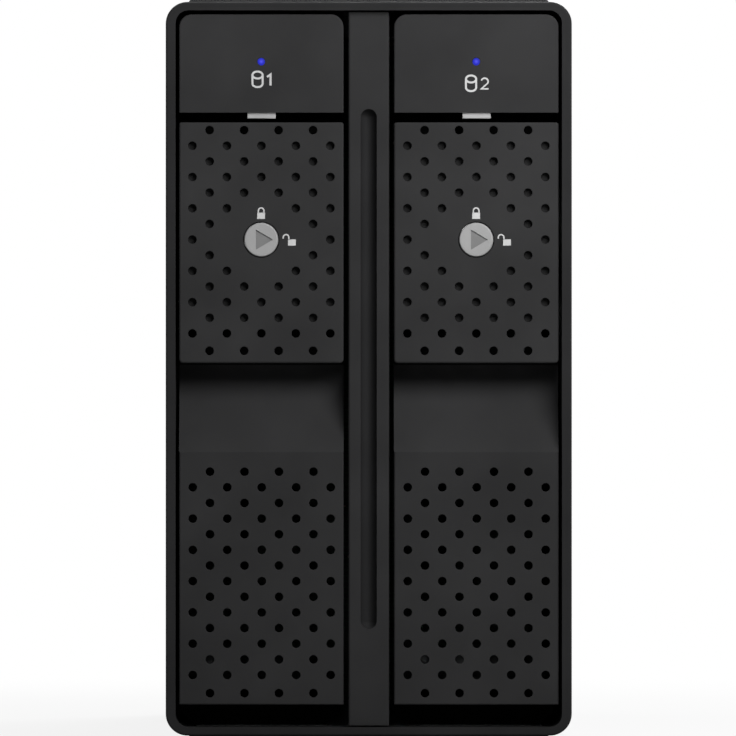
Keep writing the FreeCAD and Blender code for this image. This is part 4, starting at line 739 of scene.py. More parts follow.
# %% Tray front, what the lever hides
LUG_OUTER, LUG_THICK, LUG_RADIUS, PIN_BORE = 13 * MM, 2.5 * MM, 1.8 * MM, 0.93 * MM
nose = [(WELL + SKIN / 2, PIVOT[1] - LUG_RADIUS), (WELL + SKIN / 2, PIVOT[1] + LUG_RADIUS)]
nose += arc(PIVOT, LUG_RADIUS, 90, 270, 16)
for side in (-1, 1):
    edges = sorted((middle + side * LUG_OUTER, middle + side * (LUG_OUTER - LUG_THICK)))
    lug = prism("lug", nose, "X", *edges)
    combine(lug, rod("bore", (middle, *PIVOT), PIN_BORE, 40 * MM, "X", 24))
    combine(tray, lug, "UNION")
AIR_HALF, AIR_FOOT, AIR_HEAD = 1.8 * MM, PIVOT[1] + 6 * MM, BROW_FOOT - 5 * MM
air = [slab("air", (middle + k * HOLE_STEP - AIR_HALF, WELL - MM, AIR_FOOT),
            (middle + k * HOLE_STEP + AIR_HALF, WELL + 3 * MM, AIR_HEAD), "Y", 1.7 * MM)
       for k in (-1.5, -0.5, 0.5, 1.5)]
combine(tray, joined("air_slots", *air))
BROW_FLOOR = BROW_FOOT + SIDE_SKIN
MOUTH_HALF, MOUTH_START, MOUTH_END = 2.8 * MM, face + 0.4 * MM, face + 3.2 * MM
combine(tray, slab("latch_mouth", (middle - MOUTH_HALF, MOUTH_START, BROW_FOOT - MM),
                   (middle + MOUTH_HALF, MOUTH_END, BROW_FLOOR + 2.3 * MM), "Z", 0.3 * MM))
RIB_HALF = 4 * MM
for y, z, deep, high in ((MOUTH_END, BROW_FLOOR - 0.1 * MM, MM, 2.1 * MM),
                         (face + SKIN - 0.1 * MM, BROW_FLOOR + 5.6 * MM, 2.3 * MM, 0.8 * MM)):
    combine(tray, block("rib", (middle - RIB_HALF, y, z), (middle + RIB_HALF, y + deep, z + high)),
            "UNION")
SCREW_DEPTH = face + 13.65 * MM
SCREW_LEVELS = (31 * MM, 110 * MM)
for height in SCREW_LEVELS:
    combine(tray, rod("screw_hole", (tray_low.x, SCREW_DEPTH, height), 1.5 * MM, 6 * MM, "X"))
print("tray front with its fittings:", len(tray.data.polygons), "faces")

# %% [markdown]
# The lever is a shallow tray of its own with a soft front edge all round. A plate lies close behind
# most of its holes, so the middle rows are blind holes, whose bottoms are painted darker as shade,
# and only the first and the last two rows go right through. The lever's inside is painted near-black
# as shade, which shows through those. None is punched round the lock. The lock's bore is stepped:
# wider at the face for a clean ring of shadow, and close behind it, so that no light comes through.

# %% Lever
LEVER_SKIN, LEVER_SIDE, LEVER_SOFT, BLIND = 1.8 * MM, 1.5 * MM, 0.38 * MM, 1.15 * MM
LOCK = (middle, lever_high.z - 20.95 * MM)
LOCK_RADIUS, LOCK_HUB, PLAIN_RADIUS = 3.05 * MM, 4.3 * MM, 7.2 * MM
BORE_PLAY, MOUTH_PLAY, MOUTH_DEEP = 0.04 * MM, 0.18 * MM, 0.9 * MM
lever = block("lever_plate_1", lever_low, lever_high)
round_edges(lever, 0.7 * MM, 6, lambda a, b: along("Y", a, b) and a.z < lever_low.z + MM)
round_edges(lever, 0.42 * MM, 4, lambda a, b: along("Y", a, b) and a.z > lever_high.z - MM)
soften(lever, LEVER_SOFT, 4, "Y", face)
combine(lever, block("hollow", (lever_low.x + LEVER_SIDE, face + LEVER_SKIN, lever_low.z - MM),
                     (lever_high.x - LEVER_SIDE, lever_high.y + MM, lever_high.z + MM)))
hub_middle = (LOCK[0], face + 3 * MM, LOCK[1])
combine(lever, rod("hub", hub_middle, LOCK_HUB, 2.8 * MM), "UNION")
combine(lever, rod("bore", hub_middle, LOCK_RADIUS + BORE_PLAY, 8 * MM, sides=64))
combine(lever, rod("mouth", (LOCK[0], face, LOCK[1]), LOCK_RADIUS + MOUTH_PLAY, 2 * MOUTH_DEEP,
                   sides=64))
combine(lever, rod("hinge", (middle, *PIVOT), PIN_BORE, 40 * MM, "X", 24))
THROUGH_ROWS = (1, 14, 15)
places = [(row, x, z) for row, x, z in hole_places(LOCK[1], LAST_DROP["lever"])
          if math.hypot(x, z - LOCK[1]) > PLAIN_RADIUS]
combine(lever, punch("open_holes", [p for p in places if p[0] in THROUGH_ROWS], LEVER_SKIN + MM))
combine(lever, punch("blind_holes", [p for p in places if p[0] not in THROUGH_ROWS], BLIND))
print("lever:", len(places), "holes,", len(lever.data.polygons), "faces")

# %% [markdown]
# The lock core is a zinc plug with a soft rim and a sunk triangle that takes the key. The triangle's
# point shows where the lock stands: right is open, up is locked, and its floor is painted a darker
# zinc as shade. The latch tab is a small zinc bar that shows between brow and lever, with a wider
# shoulder at its top for the spring to press on. Its zinc is painted lighter, as light that its sunk
# place would lose.

# %% Lock core and latch tab
core_low, core_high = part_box("lock_1_core")
core = rod("lock_core_1", (LOCK[0], (core_low.y + core_high.y) / 2, LOCK[1]), LOCK_RADIUS,
           core_high.y - core_low.y, sides=64)
soften(core, 0.3 * MM, 3, "Y", core_low.y)
KEY_LEFT, KEY_RIGHT, KEY_HALF, KEY_DEEP = -0.95 * MM, 2.08 * MM, 1.8 * MM, 0.22 * MM
key = prism("key", [(LOCK[0] + KEY_LEFT, LOCK[1] - KEY_HALF), (LOCK[0] + KEY_RIGHT, LOCK[1]),
                    (LOCK[0] + KEY_LEFT, LOCK[1] + KEY_HALF)],
            "Y", core_low.y - MM, core_low.y + KEY_DEEP)
combine(core, key)

latch_low, latch_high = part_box("latch_1_slider")
TAB_FACE = face + 0.5 * MM
tab = block("latch_tab_1", (latch_low.x + 1.5 * MM, TAB_FACE, latch_low.z + 0.17 * MM),
            (latch_high.x - 1.4 * MM, latch_high.y, latch_high.z - 2 * MM))
soften(tab, 0.15 * MM, 3, "Y", TAB_FACE)
shoulder = block("shoulder", (latch_low.x, latch_high.y - 0.8 * MM, latch_high.z - 2 * MM),
                 latch_high)
combine(tab, shoulder, "UNION")
print("core and tab:", len(core.data.polygons), len(tab.data.polygons), "faces")

# %% [markdown]
# The prints are thin raised ink: a drum for the drive with the bay's plain number beside it, a
# closed padlock over the lock and an open one to its right. The drum is an outline with an inset
# of one stroke, the padlocks are filled shapes, and the numbers are drawn with a pen.

# %% Printed pictograms
INK_RISE, LID_RISE, STROKE = 0.02 * MM, 0.002 * MM, 0.35 * MM


def ink_outline(name, corners, stroke):
    """A closed line of ink: the outline is inset by the stroke and its middle taken away."""
    start_clean()
    bpy.ops.mesh.primitive_circle_add(vertices=len(corners), radius=1, fill_type="NGON")
    piece = bpy.context.object
    piece.name = name
    for vertex, (a, b) in zip(piece.data.vertices, corners):
        vertex.co = (a, face, b)
    bpy.ops.object.mode_set(mode="EDIT")
    bpy.ops.mesh.select_all(action="SELECT")
    bpy.ops.mesh.inset(thickness=stroke)
    bpy.ops.mesh.delete(type="FACE")
    bpy.ops.mesh.select_all(action="SELECT")
    bpy.ops.mesh.extrude_region_move(TRANSFORM_OT_translate={"value": (0, -INK_RISE, 0)})
    bpy.ops.mesh.select_all(action="SELECT")
    bpy.ops.mesh.normals_make_consistent(inside=False)
    bpy.ops.object.mode_set(mode="OBJECT")
    return piece


def pixel_place(column, row):
    """The place in the first bay of a pixel of the picture."""
    return ((column - CENTRE_COLUMN) * PIXEL, bezel_low.z + (BEZEL_FOOT_ROW - row) * PIXEL)


def ellipse(centre, wide, high, first=0, last=360, steps=32):
    return [(centre[0] + wide * c, centre[1] + high * s)
            for c, s in arc((0, 0), 1, first, last, steps)]


def drum(name, column, row):
    """The drive pictogram, with its top ellipse centred on a pixel."""
    top = pixel_place(column, row)
    wide, high, tall = 6.1 * PIXEL, 4.5 * PIXEL, 8.6 * PIXEL
    lid = ink_outline("lid", ellipse(top, wide, high)[:-1], STROKE)
    foot = (top[0], top[1] - tall)
    body = ink_outline("body", ellipse(top, wide, high, 0, 180, 16)
                       + ellipse(foot, wide, high, 180, 360, 16), STROKE)
    for vertex in lid.data.vertices:
        vertex.co.y -= LID_RISE
    return joined(name, body, lid)


def padlock(name, centre, shackle_side=0):
    """Body and shackle. A shackle that stands to one side is open."""
    wide, high = 3.9 * PIXEL, 3.1 * PIXEL
    box = [(centre[0] + a * wide, centre[1] + b * high)
           for a, b in ((-1, -1), (1, -1), (1, 1), (-1, 1))]
    body = prism("body", box, "Y", face, face - INK_RISE)
    hoop = (centre[0] + shackle_side, centre[1] + high + 1.9 * PIXEL)
    outer, inner = 3.5 * PIXEL, 2.15 * PIXEL
    leg = 2.5 * PIXEL
    short = 1.2 * PIXEL if shackle_side else leg
    corners = ([(hoop[0] + outer, hoop[1] - leg)] + arc(hoop, outer, 0, 180)
               + [(hoop[0] - outer, hoop[1] - short), (hoop[0] - inner, hoop[1] - short)]
               + arc(hoop, inner, 180, 0) + [(hoop[0] + inner, hoop[1] - leg)])
    shackle = prism("shackle", corners, "Y", face, face - INK_RISE)
    return joined(name, body, shackle)


def stroke_line(name, points, wide, level_y, rise):
    """A pen stroke: an open line of two-number points, given a width and a small height."""
    points = [Vector(p) for p in points]
    left, right = [], []
    for i, point in enumerate(points):
        before, after = points[max(i - 1, 0)], points[min(i + 1, len(points) - 1)]
        a = (point - before).normalized() if i else (after - point).normalized()
        b = (after - point).normalized() if i < len(points) - 1 else a
        way = (a + b).normalized()
        normal = Vector((-way.y, way.x))
        reach = wide / 2 / max(normal.dot(Vector((-a.y, a.x))), 0.4)
        left.append(point + normal * reach)
        right.append(point - normal * reach)
    return prism(name, [tuple(p) for p in left + right[::-1]], "Y", level_y, level_y + rise)


DIGITS = {
    1: [(0.2, 0.78), (0.62, 1.0), (0.62, 0.0)],
    2: [(0.5 + 0.45 * c, 0.69 + 0.31 * s) for c, s in arc((0, 0), 1, 165, -35, 10)]
       + [(0.06, 0.0), (1.0, 0.0)],
    3: [(0.48 + 0.4 * c, 0.76 + 0.24 * s) for c, s in arc((0, 0), 1, 160, -80, 9)]
       + [(0.46 + 0.46 * c, 0.26 + 0.26 * s) for c, s in arc((0, 0), 1, 75, -160, 9)],
    4: [(0.98, 0.3), (0.05, 0.3), (0.72, 1.0), (0.72, 0.0)],
}


def numeral(name, digit, corner, wide, high, pen, level_y, rise, mirror=1):
    """A plain number drawn with a pen. mirror is -1 where it is read from the rear."""
    points = [(corner[0] + mirror * a * wide, corner[1] + b * high) for a, b in DIGITS[digit]]
    return stroke_line(name, points, pen, level_y, rise)


# %% [markdown]
# The prints were measured in the picture, in pixels: each drum's top, each number's lower left
# corner, width, height and pen, and the padlocks' middles. The two bays' signs differ a little
# there. Tray front, lever, lock and latch are finished here, each with its twin for the second bay.

# %% Both bays
DRUMS = {1: (257.0, 74.7), 2: (470.6, 78.7)}
NUMERALS = {1: (264.8, 86.2, 8.4, 13.0, 2.1), 2: (480.4, 89.3, 7.7, 12.2, 1.5)}
CLOSED = pixel_place(260.6, 215.5)
OPEN = pixel_place(291.4, 242.2)
OPEN_SHACKLE = -5.9 * PIXEL
NEARLY = 0.01 * MM
for bay in BAYS:
    front = finish(for_bay(tray, bay), f"tray_{bay}", tray_black,
                   [f"tray_{bay}_front"])
    # Painted shade: the back of the well behind the lever is near-black, where the lever's shadow
    # falls.
    paint_shade(front, gap_black, lambda at, deep: at.y > face + 5 * MM
                  and lever_low.z + MM < at.z < BROW_FOOT + 0.1 * MM)
    handle = finish(for_bay(lever, bay), f"lever_{bay}", lever_black,
                    [f"lever_{bay}_handle"])
    # Painted shade: the bottoms of the blind holes are darker, and the lever's inside is near-black.
    paint_shade(handle, hole_black, lambda at, deep: abs(deep - face - BLIND) < NEARLY)
    paint_shade(handle, gap_black, lambda at, deep: at.y > face + LEVER_SKIN - NEARLY)
    plug = finish(for_bay(core, bay), f"lock_{bay}", silver,
                  [f"lock_{bay}_core"])
    # Painted shade: the floor of the key recess is a darker zinc.
    paint_shade(plug, key_floor,
                  lambda at, deep: abs(deep - core_low.y - KEY_DEEP) < NEARLY)
    # Painted light: the latch tab has the lighter zinc, which makes up for the shade where it sits
    # back.
    finish(for_bay(tab, bay), f"latch_{bay}", latch_zinc,
           [f"latch_{bay}_slider"])
    finish(drum(f"drive_sign_{bay}", *DRUMS[bay]), f"tray_{bay}", ink)
    left, low, wide, high, pen = NUMERALS[bay]
    finish(numeral(f"bay_number_{bay}", bay, pixel_place(left, low - pen / 2), wide * PIXEL,
                   (high - pen) * PIXEL, pen * PIXEL, face, -INK_RISE), f"tray_{bay}", ink)
    across = pitch * (bay - 1)
    closed = padlock("closed", (CLOSED[0] + across, CLOSED[1]))
    opened = padlock("opened", (OPEN[0] + across, OPEN[1]), OPEN_SHACKLE)
    finish(joined(f"lock_signs_{bay}", closed, opened), f"lever_{bay}", ink)

# %% [markdown]
# The light pipe is a square clear rod with a round lens at its front end and two clips that hang
# it from the carrier. Two grub screws with a six-sided socket hold each carrier to its tray front.

# %% Light pipes and carrier screws
pipe_low, pipe_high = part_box("tray_1_light_pipe")
pipe = slab("light_pipe_1", (pipe_low.x, face + SKIN + 0.05 * MM, LIGHT[1] - MM),
            (pipe_high.x, pipe_high.y, LIGHT[1] + MM), "Y", 0.25 * MM, 3)
CLIP_HALF, CLIP_LONG = 0.95 * MM, 4 * MM
for start in (face + 21.3 * MM, face + 155.3 * MM):
    combine(pipe, slab("clip", (middle - CLIP_HALF, start, LIGHT[1]),
                       (middle + CLIP_HALF, start + CLIP_LONG, pipe_high.z), "Z", 0.4 * MM, 3),
            "UNION")
lens = rod("status_lens_1", (LIGHT[0], face + 1.5 * MM, LIGHT[1]), LIGHT_RADIUS, 2.9 * MM,
           sides=32)
soften(lens, 0.3 * MM, 4, "Y", face + 0.05 * MM)
GRUB_SUNK, GRUB_RADIUS, GRUB_LONG, KEY_SOCKET = 0.3 * MM, 1.4 * MM, 2.8 * MM, 0.8 * MM
screws = []
for height in SCREW_LEVELS:
    grub = rod("grub", (tray_low.x + GRUB_SUNK + GRUB_LONG / 2, SCREW_DEPTH, height), GRUB_RADIUS,
               GRUB_LONG, "X", 32)
    soften(grub, 0.2 * MM, 2, "X", tray_low.x + GRUB_SUNK)
    combine(grub, rod("socket", (tray_low.x, SCREW_DEPTH, height), KEY_SOCKET, 3 * MM, "X", 6))
    screws.append(grub)
grubs = joined("carrier_screws_1", *screws)
for bay in BAYS:
    for piece, material, slot, node in (
            (pipe, light_pipe, "clear_pipe", f"tray_{bay}_light_pipe"),
            (lens, lit_lens, "clear_pipe", f"tray_{bay}_light_pipe"),
            (grubs, screw_black, "screw_black", f"tray_{bay}_screws")):
        finish(for_bay(piece, bay), f"tray_{bay}", material, [node])

# %% [markdown]
# The sleeve is one drawn tube: flat sides, round corners and a slightly raised land along the top
# and the bottom. Its outline is pulled along the case, and the same outline, one wall smaller, is
# taken out of it. Its finish is rougher than the mouldings', so the roof stays dark at a low angle.

# %% Sleeve
def tube_outline(half, low, high, corner, land, land_low, land_high, soft):
    """Corners of the section, anticlockwise from the lower left, with the two raised lands."""
    points = arc((-half + corner, low + corner), corner, 180, 270, 10) + [(-land, low)]
    points += arc((-land + soft, land_low + soft), soft, 180, 270, 4)
    points += arc((land - soft, land_low + soft), soft, 270, 360, 4) + [(land, low)]
    points += arc((half - corner, low + corner), corner, 270, 360, 10)
    points += arc((half - corner, high - corner), corner, 0, 90, 10) + [(land, high)]
    points += arc((land - soft, land_high - soft), soft, 0, 90, 4)
    points += arc((-land + soft, land_high - soft), soft, 90, 180, 4) + [(-land, high)]
    return points + arc((-half + corner, high - corner), corner, 90, 180, 10)


SLEEVE_WALL, LAND_RISE, LAND_HALF, SLEEVE_CORNER = 1.5 * MM, 0.8 * MM, 32.25 * MM, 3.8 * MM
foot, roof = sleeve_low.z + LAND_RISE, sleeve_high.z - LAND_RISE
sleeve = prism("sleeve_tube", tube_outline(
    sleeve_high.x, foot, roof, SLEEVE_CORNER, LAND_HALF, sleeve_low.z, sleeve_high.z, 0.48 * MM),
    "Y", sleeve_low.y, sleeve_high.y)
combine(sleeve, prism("inside", tube_outline(
    sleeve_high.x - SLEEVE_WALL, foot + SLEEVE_WALL, roof - SLEEVE_WALL,
    SLEEVE_CORNER - SLEEVE_WALL, LAND_HALF - SLEEVE_WALL / 2, sleeve_low.z + SLEEVE_WALL,
    sleeve_high.z - SLEEVE_WALL, 0.3 * MM), "Y", sleeve_low.y - MM, sleeve_high.y + MM))
sleeve_black = finish_of("sleeve_satin", (0.0175, 0.0175, 0.018), 0.58, grain=0.35 * MM,
                         depth=0.015 * MM, drift=0.06, shine=0.05)
finish(sleeve, "enclosure", sleeve_black, ["outer_sleeve"])

# %% [markdown]
# The rear panel holds the fan behind a grille of upright slots whose ends follow the fan's circle,
# and the inlets and controls in a row below. Each slot is a box with round corners. They are joined
# to one cutter, because they don't touch each other.

# %% Rear panel
FAN = (0.0, 90 * MM)
GRILLE_STEP, GRILLE_SLOT, GRILLE_REACH, GRILLE_BAR = 4.9 * MM, 3 * MM, 28.3 * MM, 1.5 * MM
ROW = 23 * MM
JACK, USB, SET, DIAL, POWER = -23 * MM, -8 * MM, 3.5 * MM, 12.5 * MM, 24.5 * MM
panel_back = panel_high.y - 0.03 * MM
plate_low = Vector((sleeve_low.x, panel_front, foot))
plate_high = Vector((sleeve_high.x, panel_back, roof))
panel = slab("rear_plate", plate_low, plate_high, "Y", SLEEVE_CORNER, 12)
soften(panel, 0.55 * MM, 4, "Y", panel_back)
slots = []
for k in range(-5, 6):
    x = FAN[0] + k * GRILLE_STEP
    tall = math.sqrt(GRILLE_REACH ** 2 - (abs(x) + GRILLE_SLOT / 2) ** 2)
    for low, high in ((GRILLE_BAR, tall), (-tall, -GRILLE_BAR)):
        slots.append(slab("slot", (x - GRILLE_SLOT / 2, panel_front - MM, FAN[1] + low),
                          (x + GRILLE_SLOT / 2, panel_high.y + MM, FAN[1] + high), "Y", 1.3 * MM))
combine(panel, joined("grille", *slots))
inside, outside = panel_front - MM, panel_high.y + MM
holes = [rod("hole", (x, panel_back, ROW), radius, 12 * MM, sides=64)
         for x, radius in ((JACK, 4.4 * MM), (SET, 1.7 * MM), (DIAL, 3.4 * MM), (POWER, 4.7 * MM))]
holes.append(slab("usb_hole", (USB - 4.7 * MM, inside, 15.9 * MM),
                  (USB + 4.7 * MM, outside, 19.5 * MM), "Y", 1.6 * MM))
holes.append(slab("lock_slot", (JACK - 3.5 * MM, inside, 36 * MM),
                  (JACK + 3.5 * MM, outside, 39 * MM), "Y", 0.8 * MM))
combine(panel, joined("holes", *holes))
PANEL_SCREWS = [(x * MM, z * MM) for x in (-27.6, 27.6) for z in (7.0, 128.0)]
FAN_SCREWS = [(FAN[0] + x * MM, FAN[1] + z * MM) for x in (-25, 25) for z in (-25, 25)]
for radius, deep in ((1.5 * MM, 12 * MM), (2.8 * MM, 2.4 * MM)):
    combine(panel, joined("screw_holes", *[
        rod("hole", (x, panel_high.y, z), radius, deep) for x, z in PANEL_SCREWS + FAN_SCREWS]))
RIB_NEAR, RIB_FAR, RIB_REACH = 1.7 * MM, 2.9 * MM, 8 * MM
for low, high in ((foot + RIB_NEAR, foot + RIB_FAR), (roof - RIB_FAR, roof - RIB_NEAR)):
    combine(panel, block("rib", (-RIB_REACH, panel_low.y, low),
                         (RIB_REACH, panel_front + MM, high)), "UNION")
finish(panel, "enclosure", panel_black, ["rear_panel"])

# %% [markdown]
# Machine screws with a cross recess sit flush in the panel. One is turned and cut here, and the
# others are copies of it, each turned to another angle, as screws come to rest.

# %% Screws
CROSS_HALF, CROSS_REACH, CROSS_DEEP = 0.28 * MM, 1.5 * MM, 0.7 * MM


def screw(name, place, long, head=2.55 * MM, head_deep=1.1 * MM):
    """A screw whose head faces the rear."""
    x, y, z = place
    piece = rod(name, (x, y - head_deep / 2, z), head, head_deep)
    soften(piece, 0.25 * MM, 3, "Y", y)
    combine(piece, rod("shank", (x, y - long / 2, z), 1.35 * MM, long - 0.2 * MM, sides=32),
            "UNION")
    for wide, high in ((CROSS_HALF, CROSS_REACH), (CROSS_REACH, CROSS_HALF)):
        combine(piece, block("cross", (x - wide, y - CROSS_DEEP, z - high),
                             (x + wide, y + MM, z + high)))
    return piece


for name, node, places, long in (("fan_bolts", "fan_screws", FAN_SCREWS, 10 * MM),
                                 ("panel_bolts", "rear_panel_screws", PANEL_SCREWS, 5 * MM)):
    first = screw(name, (places[0][0], panel_high.y - 0.1 * MM, places[0][1]), long)
    more = []
    for i, (x, z) in enumerate(places[1:]):
        moved = copied(first, name, (x - places[0][0], 0, z - places[0][1]))
        more.append(turned(moved, name, math.radians(20 + 25 * i), (x, 0, z)))
        bpy.data.objects.remove(moved)
    finish(joined(name, first, *more), "enclosure", screw_black, [node])

# %% [markdown]
# The controls are turned caps: each has a soft rim, a shallow dish and a stem that reaches its
# switch, and the two buttons have a square flange that keeps them in the panel. The power button
# carries the common broken circle with a line. The dial has knurls and a slot, and four plain
# numbers stand round it on the panel.

# %% Buttons and dial
CAP_START, STEM = panel_front - 1.2 * MM, 6 * MM
SIGN_RISE, SIGN_DEEP = 0.02 * MM, 0.14 * MM


def cap(name, x, radius, end, stem, flange=True):
    piece = rod(name, (x, (CAP_START + end) / 2, ROW), radius, end - CAP_START, sides=64)
    soften(piece, radius * 0.1, 4, "Y", end)
    combine(piece, rod("dish", (x, end, ROW), radius * 0.75, radius * 0.06, sides=64))
    if flange:
        combine(piece, slab("flange", (x - radius, CAP_START, ROW - radius),
                            (x + radius, CAP_START + MM, ROW + radius), "Y", radius * 0.15, 3),
                "UNION")
    combine(piece, slab("stem", (x - stem, CAP_START - STEM, ROW - stem),
                        (x + stem, CAP_START + 0.2 * MM, ROW + stem), "Y", stem * 0.2, 3), "UNION")
    return piece


end = panel_high.y - 0.3 * MM
finish(cap("power_cap", POWER, 4.5 * MM, end, 1.5 * MM), "power_button", button_grey,
       ["power_button"])
finish(cap("set_cap", SET, 1.5 * MM, end, 0.8 * MM), "set_button", button_grey,
       ["set_button"])
broken = stroke_line("ring", arc((POWER, ROW), 1.7 * MM, 125, 415, 24), 0.35 * MM,
                     end - SIGN_DEEP, SIGN_RISE)
line = stroke_line("line", [(POWER, ROW + 0.3 * MM), (POWER, ROW + 2.1 * MM)], 0.35 * MM,
                   end - SIGN_DEEP, SIGN_RISE)
finish(joined("power_sign", broken, line), "power_button", ink)

end = panel_high.y - 0.5 * MM
knob = cap("dial_knob", DIAL, 3.2 * MM, end, 0.8 * MM, flange=False)
knurls = [rod("knurl", (DIAL + 3.3 * MM * math.cos(t), end, ROW + 3.3 * MM * math.sin(t)),
              0.25 * MM, 3 * MM, sides=10) for t in [math.tau * k / 20 for k in range(20)]]
combine(knob, joined("knurls", *knurls))
combine(knob, slab("slot", (DIAL - 0.45 * MM, end - MM, ROW - 2.2 * MM),
                   (DIAL + 0.45 * MM, end + MM, ROW + 2.5 * MM), "Y", 0.4 * MM, 3))
finish(knob, "mode_dial", button_grey, ["mode_dial"])
marks = []
for digit, (a, b) in {1: (0, 1), 2: (-1, 0), 3: (0, -1), 4: (1, 0)}.items():
    x, z = DIAL + a * 4.9 * MM, ROW + b * 5.1 * MM
    marks.append(numeral("mark", digit, (x + 0.5 * MM, z - 0.75 * MM), MM, 1.5 * MM, 0.25 * MM,
                         panel_back, SIGN_RISE, -1))
finish(joined("dial_numbers", *marks), "enclosure", ink)

# %% [markdown]
# The power inlet is a round collar with a steel pin in its bore, on a block that stands on the main
# board. The data socket is a folded steel shell with a thin tongue.

# %% Inlet and socket
jack_low, jack_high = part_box("dc_jack")
BLOCK_END = jack_low.y + 12 * MM
jack = slab("inlet", jack_low, (jack_high.x, BLOCK_END, jack_high.z), "Y", 0.4 * MM, 3)
collar = rod("collar", (JACK, (BLOCK_END + jack_high.y - MM) / 2, ROW), 4.15 * MM,
             jack_high.y - BLOCK_END + MM, sides=64)
round_edges(collar, 0.3 * MM, 3, lambda a, b: min(a.y, b.y) > jack_high.y - 0.1 * MM)
combine(jack, collar, "UNION")
combine(jack, rod("bore", (JACK, jack_high.y, ROW), 2.85 * MM, 20 * MM, sides=48))
finish(jack, "enclosure", part_black, ["dc_jack"])
pin = rod("inlet_pin", (JACK, jack_high.y - 7.45 * MM, ROW), 1.05 * MM, 9.5 * MM, sides=32)
soften(pin, 0.5 * MM, 4, "Y", jack_high.y - 2.7 * MM)
finish(pin, "enclosure", port_steel, ["dc_jack"])

usb_low, usb_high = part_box("usb_c_port")
shell = slab("data_socket", usb_low, usb_high, "Y", 1.5 * MM, 8)
combine(shell, slab("mouth", (usb_low.x + 0.3 * MM, usb_low.y + 1.5 * MM, usb_low.z + 0.3 * MM),
                    (usb_high.x - 0.3 * MM, usb_high.y + MM, usb_high.z - 0.3 * MM), "Y",
                    1.25 * MM, 8))
finish(shell, "enclosure", port_steel, ["usb_c_port"])
height = (usb_low.z + usb_high.z) / 2
tongue = slab("socket_tongue", (usb_low.x + 1.2 * MM, usb_low.y + MM, height - 0.35 * MM),
              (usb_high.x - 1.2 * MM, usb_high.y - 0.8 * MM, height + 0.35 * MM), "Z", 0.5 * MM, 3)
finish(tongue, "enclosure", part_black, ["usb_c_port"])

# %% [markdown]
# The fan's blades are twisted and cambered plates: steep at the hub, flatter and wider at the tip,
# swept forward a little. One blade starts as a flat grid, is bent into shape point by point, given
# its thickness, and copied round the axis.

# %% Fan rotor
BLADES, HUB_RADIUS, BLADE_TIP, ROOT_SUNK = 7, 12.4 * MM, 27.3 * MM, 0.6 * MM
HUB_BORE, HUB_BORE_DEEP = 1.6 * MM, 8.5 * MM
ROOT_TILT, TILT_LOSS, ROOT_CHORD, CHORD_GAIN = 50, 14, 9.5, 3
CAMBER, SWEEP, BLADE_THICK = 0.9 * MM, 2.5 * MM, 0.9 * MM
rotor_low, rotor_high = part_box("fan_rotor")
rotor_middle = (rotor_low.y + rotor_high.y) / 2
start_clean()
bpy.ops.mesh.primitive_grid_add(x_subdivisions=12, y_subdivisions=8, size=1)
blade = bpy.context.object
for vertex in blade.data.vertices:
    outward, lengthwise = vertex.co.x + 0.5, vertex.co.y
    reach = HUB_RADIUS - ROOT_SUNK + outward * (BLADE_TIP - HUB_RADIUS + ROOT_SUNK)
    tilt = math.radians(ROOT_TILT - TILT_LOSS * outward)
    chord = (ROOT_CHORD + CHORD_GAIN * outward) * MM
    hump = CAMBER * (1 - 4 * lengthwise ** 2)
    forward = (lengthwise * chord * math.cos(tilt) - hump * math.sin(tilt)
               + SWEEP * outward ** 2)
    turn = forward / reach
    vertex.co = (reach * math.cos(turn),
                 rotor_middle + lengthwise * chord * math.sin(tilt) + hump * math.cos(tilt),
                 FAN[1] + reach * math.sin(turn))
choose(blade)
for kind, settings in (("SOLIDIFY", {"thickness": BLADE_THICK, "offset": 0}),
                       ("BEVEL", {"width": 0.25 * MM, "segments": 2})):
    modifier = blade.modifiers.new(kind.lower(), kind)
    for setting, amount in settings.items():
        setattr(modifier, setting, amount)
    bpy.ops.object.modifier_apply(modifier=modifier.name)
blades = [turned(blade, f"blade_{k}", math.tau * k / BLADES, (0, 0, FAN[1]))
          for k in range(1, BLADES)]
hub = rod("hub", (0, rotor_middle, FAN[1]), HUB_RADIUS, rotor_high.y - rotor_low.y, sides=64)
soften(hub, 0.9 * MM, 5, "Y", rotor_low.y)
combine(hub, rod("bore", (0, rotor_high.y, FAN[1]), HUB_BORE, 2 * HUB_BORE_DEEP,
                 sides=32))
finish(joined("fan_wheel", hub, blade, *blades), "fan", fan_black, ["fan_rotor"])

# %% [markdown]
# The fan's frame is two square flanges on a round duct, with a motor base held by four struts.

# %% Fan frame
frame_low, frame_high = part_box("fan_frame")
FLANGE, DUCT, DUCT_WALL = 3.5 * MM, 28.5 * MM, 1.4 * MM
BASE_RADIUS, BASE_DEEP, AXLE_RADIUS, AXLE_LONG = 12.5 * MM, 2.48 * MM, 1.5 * MM, 8 * MM
ring = slab("fan_case", frame_low, (frame_high.x, frame_low.y + FLANGE, frame_high.z), "Y",
            3 * MM, 6)
combine(ring, slab("flange", (frame_low.x, frame_high.y - FLANGE, frame_low.z), frame_high, "Y",
                   3 * MM, 6), "UNION")
case_middle = (frame_low.y + frame_high.y) / 2
case_deep = frame_high.y - frame_low.y
combine(ring, rod("duct", (0, case_middle, FAN[1]), DUCT + DUCT_WALL,
                  case_deep - 0.2 * MM, sides=96), "UNION")
combine(ring, rod("bore", (0, case_middle, FAN[1]), DUCT, case_deep + 2 * MM, sides=96))
combine(ring, joined("holes", *[rod("hole", (x, case_middle, z), 1.5 * MM, case_deep + 2 * MM)
                                for x, z in FAN_SCREWS]))
STRUT_START = frame_high.y - 2.5 * MM
strut = slab("strut", (-1.5 * MM, STRUT_START, FAN[1] + 11.5 * MM),
             (1.5 * MM, frame_high.y - 0.01 * MM, FAN[1] + DUCT + 0.6 * MM), "Z", 0.5 * MM, 3)
